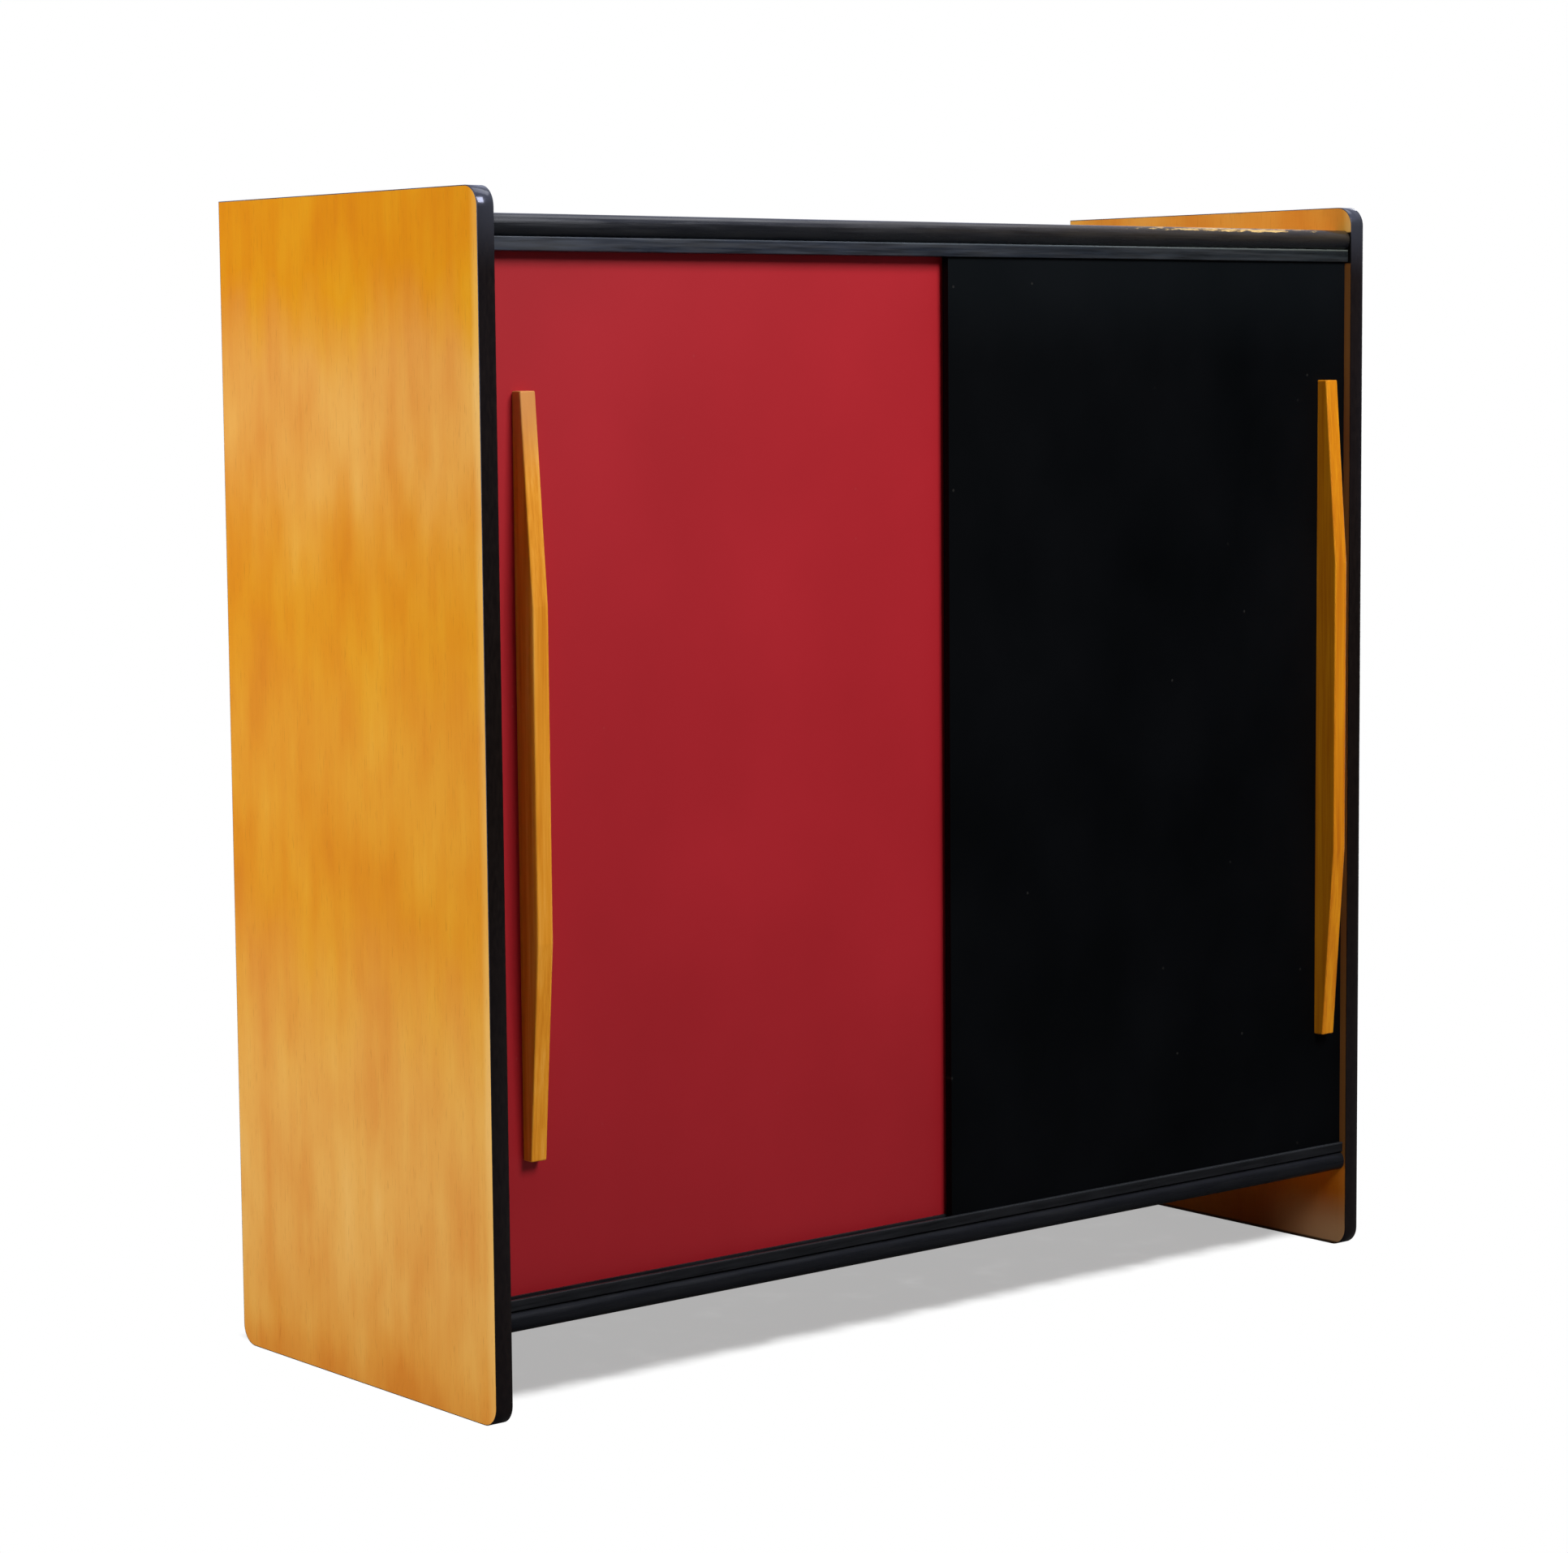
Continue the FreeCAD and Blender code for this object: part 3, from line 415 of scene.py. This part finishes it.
def extruded_plastic(name, guide, body_hex, highlight_hex, level, reflection_tints=3 * ("#ffffff",)):
    """Extruded black plastic of a guide: satin and smudged, with a painted highlight on its upper arris.

    The highlight grows towards the right. The last argument gives the tints of a painted reflection near its
    left end, at 0.3 of its length and at its right end.
    """
    material, tree, place, (sideways, _, up) = new_material(name)
    scuffs = lumps(tree, place, GUIDE_SCUFFS_MM, detail=3.0, roughness=0.6)
    body = add(tree, "ShaderNodeValToRGB", {"Fac": scuffs}, stops=[(0.2, "#0c0d0f"), (0.7, body_hex)])
    # Painted highlight on the upper arris, stronger to the right and broken by scuffs.
    rightward = zone(tree, [(sideways, GUIDE_SIDEWAYS)])
    arris_highlight_share = weighted_sum(tree, [(rightward, GUIDE_HIGHLIGHT_RIGHTWARD), (scuffs, GUIDE_HIGHLIGHT_SCUFFS)])
    arris_highlight = zone(tree, [(up, reach(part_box(guide)[1][2], *GUIDE_ARRIS_MM))], within=arris_highlight_share)
    length_share = add(tree, "ShaderNodeMapRange", {
        "Value": sideways, "From Min": GUIDE_SIDEWAYS[0], "From Max": GUIDE_SIDEWAYS[1]})
    # Painted reflection tint, changing along the guide.
    reflection_tint = add(tree, "ShaderNodeValToRGB", {"Fac": length_share}, stops=list(zip(REFLECTION_TINT_PLACES, reflection_tints)))
    relief = add(tree, "ShaderNodeBump", {"Height": scuffs, "Distance": GUIDE_DEPTH_MM * MM})
    give_surface(tree, {
        "Base Color": coats(tree, coats(tree, body, (arris_highlight, highlight_hex)), (1.0, reflection_tint), way="MULTIPLY"),
        "Roughness": smudged(tree, place, GUIDE_SMUDGES_MM, (4, 2, 3), glossy=0.24, dull=0.56),
        "Specular IOR Level": level, "Normal": relief})
    return material


SPRAY_CLOUDS_MM = (140, 140, 180)
ORANGE_PEEL_MM = (2.5, 2.5, 2.5)
ORANGE_PEEL_DEPTH_MM = 0.01
SPECK_MM = 1.6
SPECK_SPACING_MM = 95
SPECK_SHARE = SPECK_MM / SPECK_SPACING_MM
SPECK_CHANCE = (0.55, 0.95)
SPECK_STRENGTH = 0.03
# Painted light near a door's top, making it greyer.
DOOR_TOP_LIGHT_UP = reach(DOOR_TOP, -110, -5)
# Painted shade low on a door, making it darker towards the bottom.
DOOR_LOW_SHADE_UP = reach(DOOR_FOOT, 398, -2)


def sprayed_lacquer(name, hex_colour, dark_hex, roughness, level, shaded_low=0.0, lit_top=0.0):
    """Lacquer sprayed on a smooth board: even and satin, faintly clouded, with a fine orange peel.

    It has a few faint specks. Of its last two shares, the first makes it darker low down, as painted shade,
    and the second greyer near the top, as painted light. The edging inside the cabinet is as even, so it is
    drawn the same way.
    """
    material, tree, place, (sideways, _, up) = new_material(name)
    clouds = lumps(tree, place, SPRAY_CLOUDS_MM, detail=3.0)
    clouded = add(tree, "ShaderNodeValToRGB", {"Fac": clouds}, stops=[(0.3, dark_hex), (0.7, hex_colour)])
    flat = add(tree, "ShaderNodeCombineXYZ", {"X": sideways, "Y": up})
    distance, cell = add(tree, "ShaderNodeTexVoronoi",
                         {"Vector": flat, "Scale": 1 / (SPECK_SPACING_MM * MM)},
                         give=("Distance", "Color"), voronoi_dimensions="2D")
    chance = add(tree, "ShaderNodeSeparateXYZ", {0: cell}, give="X")
    specks = zone(tree, [(distance, (SPECK_SHARE, SPECK_SHARE / 2)), (chance, SPECK_CHANCE)], SPECK_STRENGTH)
    # Painted light: greyer near the top.
    greyer_top = zone(tree, [(up, DOOR_TOP_LIGHT_UP)], lit_top)
    # Painted shade: darker low down.
    low_shade = zone(tree, [(up, DOOR_LOW_SHADE_UP)], shaded_low)
    peel = lumps(tree, place, ORANGE_PEEL_MM, detail=1.0)
    relief = add(tree, "ShaderNodeBump", {"Height": peel, "Distance": ORANGE_PEEL_DEPTH_MM * MM})
    give_surface(tree, {
        "Base Color": coats(tree, clouded, (specks, "#b8b4ac"), (greyer_top, "#1e2428"), (low_shade, "#2a0a0a")),
        "Roughness": roughness, "Specular IOR Level": level, "Normal": relief})
    return material


MOTTLE_MM = (3, 3, 3)
MOTTLE_ROUGHER = 0.06


def small_part(name, hex_colour, roughness, metallic=0.0):
    """Turned, moulded or plated small part: one colour, with a sheen that is a little mottled."""
    material, tree, place, _ = new_material(name)
    mottled = add(tree, "ShaderNodeMapRange", {
        "Value": lumps(tree, place, MOTTLE_MM, detail=2.0),
        "To Min": roughness - MOTTLE_ROUGHER, "To Max": roughness + MOTTLE_ROUGHER})
    give_surface(tree, {"Base Color": hex_colour, "Roughness": mottled, "Metallic": metallic})
    return material


def paint(material, *nodes):
    """Give CAD nodes their material."""
    for name in nodes:
        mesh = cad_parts[name].data
        mesh.materials.clear()
        mesh.materials.append(material)


SCREW_SIDES = 24
SLOT_SHARE = 0.14
SLOT_DEPTH_SHARE = 0.5
TIP_SHARE = 0.12
TIP_RADIUS_SHARE = 0.25
SCREW_TURN_DEGREES = 67
SAME_PLACE = 0.001 * MM
HEAD_WAYS = {"+Y": (0, 1, 0), "+Z": (0, 0, 1), "-Z": (0, 0, -1)}
# Screws of each node: way their heads face, shank radius and head depth in millimetres, body they ride on.
SCREW_KINDS = {
    "back_panel_screws": ("+Y", 1.5, 1.8, "carcass"),
    "top_track_screws": ("-Z", 1.25, 1.5, "carcass"),
    "bottom_track_screws": ("+Z", 1.25, 1.5, "carcass"),
    "red_handle_screws": ("+Y", 1.75, 2.2, "red_sliding_door"),
    "black_handle_screws": ("+Y", 1.75, 2.2, "black_sliding_door"),
}


def loose_boxes(node):
    """Boxes of a node's separate solids."""
    shape = bmesh.new()
    shape.from_mesh(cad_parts[node].data)
    bmesh.ops.remove_doubles(shape, verts=shape.verts, dist=SAME_PLACE)
    waiting = set(shape.verts)
    boxes = []
    while waiting:
        island = []
        border = [waiting.pop()]
        while border:
            corner = border.pop()
            island.append(corner.co.copy())
            near = [edge.other_vert(corner) for edge in corner.link_edges]
            border += [vert for vert in near if vert in waiting]
            waiting -= set(near)
        boxes.append((Vector(map(min, zip(*island))), Vector(map(max, zip(*island)))))
    shape.free()
    return sorted(boxes, key=lambda box: tuple(box[0]))


def cut_slot(screw, half_width, depth):
    """Cut a straight slot across a screw's head: open it, then close it with a floor and two walls."""
    for point, across in (((-half_width, 0, 0), (1, 0, 0)), ((half_width, 0, 0), (1, 0, 0)),
                          ((0, 0, -depth), (0, 0, 1))):
        whole = screw.verts[:] + screw.edges[:] + screw.faces[:]
        bmesh.ops.bisect_plane(screw, geom=whole, plane_co=point, plane_no=across)
    opened = [face for face in screw.faces if abs(face.calc_center_median().x) < half_width
              and face.calc_center_median().z > -depth]
    bmesh.ops.delete(screw, geom=opened, context="FACES")
    level = [vert for vert in screw.verts if abs(vert.co.z + depth) < SAME_PLACE]
    painted_contact_shadow = [vert for vert in level if abs(vert.co.x) < half_width + SAME_PLACE]
    closing = bmesh.ops.contextual_create(screw, geom=painted_contact_shadow)["faces"]
    edges = [edge for edge in screw.edges if edge.is_boundary]
    closing += bmesh.ops.holes_fill(screw, edges=edges)["faces"]
    slot_middle = Vector((0, 0, -depth / 2))
    for face in closing:
        face.normal_update()
        if face.normal.dot(slot_middle - face.calc_center_median()) < 0:
            face.normal_flip()


def slotted_screw(head_radius, shank_radius, sink, length):
    """Mesh of a countersunk wood screw: upright, its slotted head's top at the origin."""
    screw = bmesh.new()
    bmesh.ops.create_circle(screw, cap_ends=True, radius=head_radius, segments=SCREW_SIDES)
    rim = screw.edges[:]
    radius = head_radius
    depth = 0.0
    for new_radius, new_depth in ((shank_radius, sink), (shank_radius, length * (1 - TIP_SHARE)),
                                  (shank_radius * TIP_RADIUS_SHARE, length)):
        grown = bmesh.ops.extrude_edge_only(screw, edges=rim)["geom"]
        ring = [item for item in grown if isinstance(item, bmesh.types.BMVert)]
        rim = [edge for edge in screw.edges if all(vert in ring for vert in edge.verts)]
        narrower = new_radius / radius
        bmesh.ops.scale(screw, verts=ring, vec=(narrower, narrower, 1))
        bmesh.ops.translate(screw, verts=ring, vec=(0, 0, depth - new_depth))
        radius = new_radius
        depth = new_depth
    bmesh.ops.contextual_create(screw, geom=rim)
    bmesh.ops.recalc_face_normals(screw, faces=screw.faces)
    cut_slot(screw, head_radius * SLOT_SHARE, sink * SLOT_DEPTH_SHARE)
    mesh = bpy.data.meshes.new("slotted_screw")
    screw.to_mesh(mesh)
    screw.free()
    return mesh


def slotted_screws(node, material):
    """Slotted screws in the places of a node's plain ones, each slot turned its own way."""
    way, shank_mm, sink_mm, body = SCREW_KINDS[node]
    outward = Vector(HEAD_WAYS[way])
    places = loose_boxes(node)
    size = places[0][1] - places[0][0]
    length = abs(size.dot(outward))
    screw = slotted_screw(size.x / 2, shank_mm * MM, sink_mm * MM, length)
    facing = outward.to_track_quat("Z", "Y").to_matrix().to_4x4()
    shape = bmesh.new()
    for number, (low, high) in enumerate(places):
        head_at = Matrix.Translation((low + high) / 2 + outward * length / 2)
        spun = Matrix.Rotation(math.radians(SCREW_TURN_DEGREES * number), 4, "Z")
        turned = screw.copy()
        turned.transform(head_at @ facing @ spun)
        shape.from_mesh(turned)
        bpy.data.meshes.remove(turned)
    bpy.data.meshes.remove(screw)
    mesh = bpy.data.meshes.new("slotted_" + node)
    shape.to_mesh(mesh)
    shape.free()
    piece = bpy.data.objects.new("slotted_" + node, mesh)
    bpy.context.scene.collection.objects.link(piece)
    mesh.materials.append(material)
    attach(piece, body)
    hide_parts(node)


# Tones of the veneer from its dark to its pale figure: the left panel's, the right panel's a little darker
# and yellower, the paler tones that both turn to, and the paler kind inside.
WARM_TONES = [(0.30, "#cc7602"), (0.45, "#d58604"), (0.57, "#d9920e"), (0.72, "#dea124")]
AMBER_TONES = [(0.30, "#c07a06"), (0.45, "#c98a0a"), (0.57, "#cf9412"), (0.72, "#d6a22a")]
FADED_TONES = [(0.30, "#d5893a"), (0.45, "#dc9b48"), (0.57, "#e1a753"), (0.72, "#e6b362")]
PALE_TONES = [(0.30, "#b9813f"), (0.55, "#cb9650"), (0.75, "#d8aa68")]
# How pale a panel is at each share of the cabinet's height.
LEFT_PANEL_FADING = [
    (0.0, 0.6), (0.08, 1.0), (0.18, 1.0), (0.28, 0.8), (0.36, 0.3), (0.42, 0.05), (0.54, 0.35),
    (0.64, 0.0), (0.72, 0.22), (0.78, 0.8), (0.85, 1.0), (0.90, 0.15), (0.93, 0.0), (0.97, 0.0)]
RIGHT_PANEL_FADING = [(0.0, 0.3), (0.5, 0.3), (0.9, 0.6)]
EVEN_FADING = [(0.0, 0.5), (1.0, 0.5)]
LEVEL_CLOUDY = 0.32
# Tones of the handles' wood, the same way.
PALE_HANDLE_TONES = [(0.30, "#c87613"), (0.5, "#da8f24"), (0.7, "#e6a444")]
DEEP_HANDLE_TONES = [(0.30, "#b96608"), (0.5, "#cc7d0e"), (0.7, "#dc9316")]


def dress_boards():
    """Veneer of the side panels, the top and bottom and the boards inside, and the back's plywood."""
    paint(lacquered_veneer("honey_veneer_upright", "Z", WARM_TONES, FADED_TONES, LEFT_PANEL_FADING),
          "left_side_panel")
    paint(lacquered_veneer("honey_veneer_amber", "Z", AMBER_TONES, FADED_TONES, RIGHT_PANEL_FADING,
                           cloudy=0.66), "right_side_panel")
    paint(lacquered_veneer("honey_veneer_level", "X", WARM_TONES, FADED_TONES, EVEN_FADING,
                           cloudy=LEVEL_CLOUDY, roughness=0.65), "top_panel", "bottom_panel")
    paint(lacquered_veneer("pale_veneer_level", "X", PALE_TONES, PALE_TONES, EVEN_FADING,
                           cloudy=LEVEL_CLOUDY),
          "left_lower_shelf", "left_upper_shelf", "right_lower_shelf", "right_upper_shelf")
    paint(lacquered_veneer("pale_veneer_upright", "Z", PALE_TONES, PALE_TONES, EVEN_FADING),
          "centre_divider")
    paint(raw_plywood("raw_plywood"), "back_panel")


def dress_edges_and_rails():
    """Black edging, nosings and guides."""
    paint(plastic_edging("glossy_edging"), "left_edge_band", "right_edge_band")
    paint(sprayed_lacquer("black_edging", "#100c0b", "#0c0908", roughness=0.28, level=0.12),
          "divider_edge_band", "shelf_edge_bands")
    paint(brushed_lacquer("brushed_lacquer_upper", level=0.4), "top_front_nosing")
    paint(brushed_lacquer("brushed_lacquer_lower", level=0.1), "bottom_front_nosing")
    # The upper guide's body is drawn lighter and bluer than the lower one's, and tinted along its length, as
    # painted reflection.
    paint(extruded_plastic("extruded_plastic_upper", "top_door_track", "#272d39", "#5e6670", level=0.5,
                           reflection_tints=("#ffffff", "#dcdee2", "#d8d5b8")), "top_door_track")
    paint(extruded_plastic("extruded_plastic_lower", "bottom_door_track", "#1d1e21", "#2a2c2f", level=0.17),
          "bottom_door_track")


def dress_doors():
    """Lacquer of the doors and wood of their handles."""
    paint(sprayed_lacquer("sprayed_red", "#a41b25", "#9d1821", roughness=0.45, level=0.28, shaded_low=0.12),
          "red_door")
    paint(sprayed_lacquer("sprayed_black", "#08090b", "#030405", roughness=0.45, level=0.04, lit_top=0.15),
          "black_door")
    paint(oiled_wood("oiled_wood_pale", "red_door_handle", PALE_HANDLE_TONES, pale=0.9), "red_door_handle")
    paint(oiled_wood("oiled_wood_deep", "black_door_handle", DEEP_HANDLE_TONES, pale=0.0),
          "black_door_handle")


def dress_fittings():
    """Dowels, runner blocks, shelf pins and screws."""
    paint(small_part("turned_beech", "#c8a26c", 0.6),
          "top_panel_dowels", "bottom_panel_dowels", "divider_dowels")
    paint(small_part("moulded_nylon", "#d9d6cc", 0.5), "red_door_glides", "black_door_glides")
    paint(small_part("nickel_plate", "#b8b5b0", 0.3, metallic=1.0), "left_shelf_pins", "right_shelf_pins")
    zinc = small_part("zinc_plate", "#a8a69e", 0.42, metallic=1.0)
    for node in SCREW_KINDS:
        slotted_screws(node, zinc)


def seen_rays(tree):
    """1 for the rays that show the background as it is: seen straight or through glass."""
    straight, through = add(tree, "ShaderNodeLightPath", give=("Is Camera Ray", "Is Transmission Ray"))
    return add(tree, "ShaderNodeMath", {0: straight, 1: through}, operation="MAXIMUM")


FLOOR_SIZE = 30.0
SHADOW_FRONT_MM = 115
SHADOW_SIDE_MM = 17
SHADOW_FADE_MM = 40
SHADOW_SIDE_FADE_MM = 13
SHADOW_FRAY_MM = 12
SHADOW_BLOTCHES_MM = (60, 60, 60)
SHADOW_LIFT = 0.42
MIRROR_FADE_MM = 1800


def white_share(tree, place, mirrored):
    """Share of white in the floor: most of it away from the cabinet, and behind it for glossy surfaces.

    The shadow is kept on a rectangle under the cabinet, which fades quicker sideways, with ragged edges.
    """
    low, high = solid_box
    front = low[1] + SHADOW_FRONT_MM * MM
    middle = ((low[0] + high[0]) / 2, (front + high[1]) / 2, 0)
    half = ((high[0] - low[0]) / 2 - SHADOW_SIDE_MM * MM, (high[1] - front) / 2, 1)
    quicker = (SHADOW_FADE_MM / SHADOW_SIDE_FADE_MM, 1, 0)
    offset = add(tree, "ShaderNodeVectorMath", {0: place, 1: middle}, operation="SUBTRACT")
    size = add(tree, "ShaderNodeVectorMath", {0: offset}, operation="ABSOLUTE")
    past = add(tree, "ShaderNodeVectorMath", {0: size, 1: half}, operation="SUBTRACT")
    outside = add(tree, "ShaderNodeVectorMath", {0: past, 1: (0, 0, 0)}, operation="MAXIMUM")
    stretched = add(tree, "ShaderNodeVectorMath", {0: outside, 1: quicker}, operation="MULTIPLY")
    distance = add(tree, "ShaderNodeVectorMath", {0: stretched}, operation="LENGTH")
    blotches = lumps(tree, place, SHADOW_BLOTCHES_MM, detail=3.0)
    ragged = weighted_sum(tree, [(distance, 1.0), (blotches, 2 * SHADOW_FRAY_MM * MM)])
    away = add(tree, "ShaderNodeMapRange", {
        "Value": ragged, "From Min": SHADOW_FRAY_MM * MM, "From Max": (SHADOW_FRAY_MM + SHADOW_FADE_MM) * MM,
        "To Min": SHADOW_LIFT}, interpolation_type="SMOOTHSTEP")
    backward = add(tree, "ShaderNodeSeparateXYZ", {0: place}, give="Y")
    behind = zone(tree, [(backward, reach(high[1], 0, MIRROR_FADE_MM))], within=mirrored)
    seen = add(tree, "ShaderNodeMath", {0: away, 1: seen_rays(tree)}, operation="MULTIPLY")
    return weighted_sum(tree, [(seen, 1.0), (behind, 1.0)])


def lay_floor():
    """Pale matt floor that keeps the cabinet's shadow and turns white a little way outside it."""
    shape = bmesh.new()
    bmesh.ops.create_grid(shape, x_segments=1, y_segments=1, size=FLOOR_SIZE / 2)
    mesh = bpy.data.meshes.new("studio_floor")
    shape.to_mesh(mesh)
    shape.free()
    floor = bpy.data.objects.new("studio_floor", mesh)
    bpy.context.scene.collection.objects.link(floor)

    material, tree, place, _ = new_material("studio_floor")
    mirrored = add(tree, "ShaderNodeLightPath", give="Is Glossy Ray")
    matte = add(tree, "ShaderNodeBsdfDiffuse", {"Color": coats(tree, "#8c8c8c", (mirrored, "#484848"))})
    white = add(tree, "ShaderNodeEmission", {"Color": "#ffffff", "Strength": 1.0})
    mixed = add(tree, "ShaderNodeMixShader", {0: white_share(tree, place, mirrored), 1: matte, 2: white})
    add(tree, "ShaderNodeOutputMaterial", {"Surface": mixed})
    mesh.materials.append(material)


# Where the studio's glow starts and is full, as parts of a unit vector to the right, back and up.
OVERHEAD_RISE = (0.22, 0.6)
BEHIND_RISE = (0.2, 0.6)
RIGHT_DIM_RISE = (0.68, 0.56)
RIGHT_DIM_GLOW = 0.6
FRONT_GLOW = 0.08
FILL_STRENGTH = 0.13


def light_world():
    """Even soft light from all round, with a white background.

    Glossy surfaces see it white behind the cabinet and overhead, and dim in front, as in a dark room.
    """
    world = bpy.data.worlds.new("studio")
    world.use_nodes = True
    tree = world.node_tree
    tree.nodes.clear()
    direction = add(tree, "ShaderNodeTexCoord", give="Generated")
    right, back, up = add(tree, "ShaderNodeSeparateXYZ", {0: direction}, give=("X", "Y", "Z"))
    dimmed = add(tree, "ShaderNodeMapRange", {
        "Value": right, "From Min": RIGHT_DIM_RISE[0], "From Max": RIGHT_DIM_RISE[1],
        "To Min": RIGHT_DIM_GLOW})
    overhead = zone(tree, [(up, OVERHEAD_RISE)], within=dimmed)
    behind = zone(tree, [(back, BEHIND_RISE)])
    bright = add(tree, "ShaderNodeMath", {0: overhead, 1: behind}, operation="MAXIMUM")
    room = add(tree, "ShaderNodeMapRange", {"Value": bright, "To Min": FRONT_GLOW})
    fill = add(tree, "ShaderNodeBackground", {"Color": "#f4f6ff", "Strength": FILL_STRENGTH})
    glow = add(tree, "ShaderNodeBackground", {"Color": "#dde3ff", "Strength": room})
    white = add(tree, "ShaderNodeBackground", {"Color": "#ffffff", "Strength": 1.0})
    glossy = add(tree, "ShaderNodeLightPath", give="Is Glossy Ray")
    lit = add(tree, "ShaderNodeMixShader", {0: glossy, 1: fill, 2: glow})
    mixed = add(tree, "ShaderNodeMixShader", {0: seen_rays(tree), 1: lit, 2: white})
    add(tree, "ShaderNodeOutputWorld", {"Surface": mixed})
    bpy.context.scene.world = world


# Soft boxes: name, place, point that they face, width and height in metres, power in watts.
SOFT_BOXES = [
    ("left_soft_box", (-2.8, 0.6, 0.95), (-0.5, 0.0, 0.5), 1.6, 2.2, 64),
    ("front_soft_box", (0.2, -2.15, 2.35), (-0.05, -0.2, 0.95), 1.1, 1.1, 80),
    ("right_soft_box", (2.8, 0.75, 0.95), (0.5, 0.0, 0.5), 1.2, 1.8, 38),
    ("back_soft_box", (0.8, 3.2, 0.55), (0.0, 0.2, 0.5), 2.0, 0.9, 45),
    ("overhead_soft_box", (0.75, -0.2, 2.8), (0.7, -0.2, 0.0), 1.1, 2.0, 15),
]


def hang_soft_boxes():
    """Rectangular lamps round the cabinet."""
    for name, place, aim, width, height, watts in SOFT_BOXES:
        data = bpy.data.lights.new(name, "AREA")
        data.shape = "RECTANGLE"
        data.size = width
        data.size_y = height
        data.energy = watts
        lamp = bpy.data.objects.new(name, data)
        toward = Vector(aim) - Vector(place)
        turn = toward.to_track_quat("-Z", "Y").to_matrix().to_4x4()
        lamp.matrix_world = Matrix.Translation(place) @ turn
        bpy.context.scene.collection.objects.link(lamp)


# The photograph's view of the cabinet.
CAMERA_AT = (-2.4196, -2.8723, 0.8925)
CAMERA_YAW = math.radians(39.458)
CAMERA_PITCH = math.radians(-5.954)
CAMERA_ROLL = math.radians(-0.490)
CAMERA_LENS_MM = 91.09
CAMERA_SENSOR_MM = 36.0


def set_camera():
    """The photograph's camera: place, direction and roll."""
    along = Vector((math.sin(CAMERA_YAW) * math.cos(CAMERA_PITCH),
                    math.cos(CAMERA_YAW) * math.cos(CAMERA_PITCH), math.sin(CAMERA_PITCH)))
    level = Vector((math.cos(CAMERA_YAW), -math.sin(CAMERA_YAW), 0))
    upright = level.cross(along)
    right = math.cos(CAMERA_ROLL) * level + math.sin(CAMERA_ROLL) * upright
    up = math.cos(CAMERA_ROLL) * upright - math.sin(CAMERA_ROLL) * level
    data = bpy.data.cameras.new("photo_camera")
    data.lens = CAMERA_LENS_MM
    data.sensor_width = CAMERA_SENSOR_MM
    camera = bpy.data.objects.new("photo_camera", data)
    turn = Matrix((right, up, -along)).transposed().to_4x4()
    camera.matrix_world = Matrix.Translation(CAMERA_AT) @ turn
    bpy.context.scene.collection.objects.link(camera)
    bpy.context.scene.camera = camera


dress_boards()
dress_edges_and_rails()
dress_doors()
dress_fittings()
lay_floor()
light_world()
hang_soft_boxes()
set_camera()
bpy.context.scene.view_settings.view_transform = "Standard"
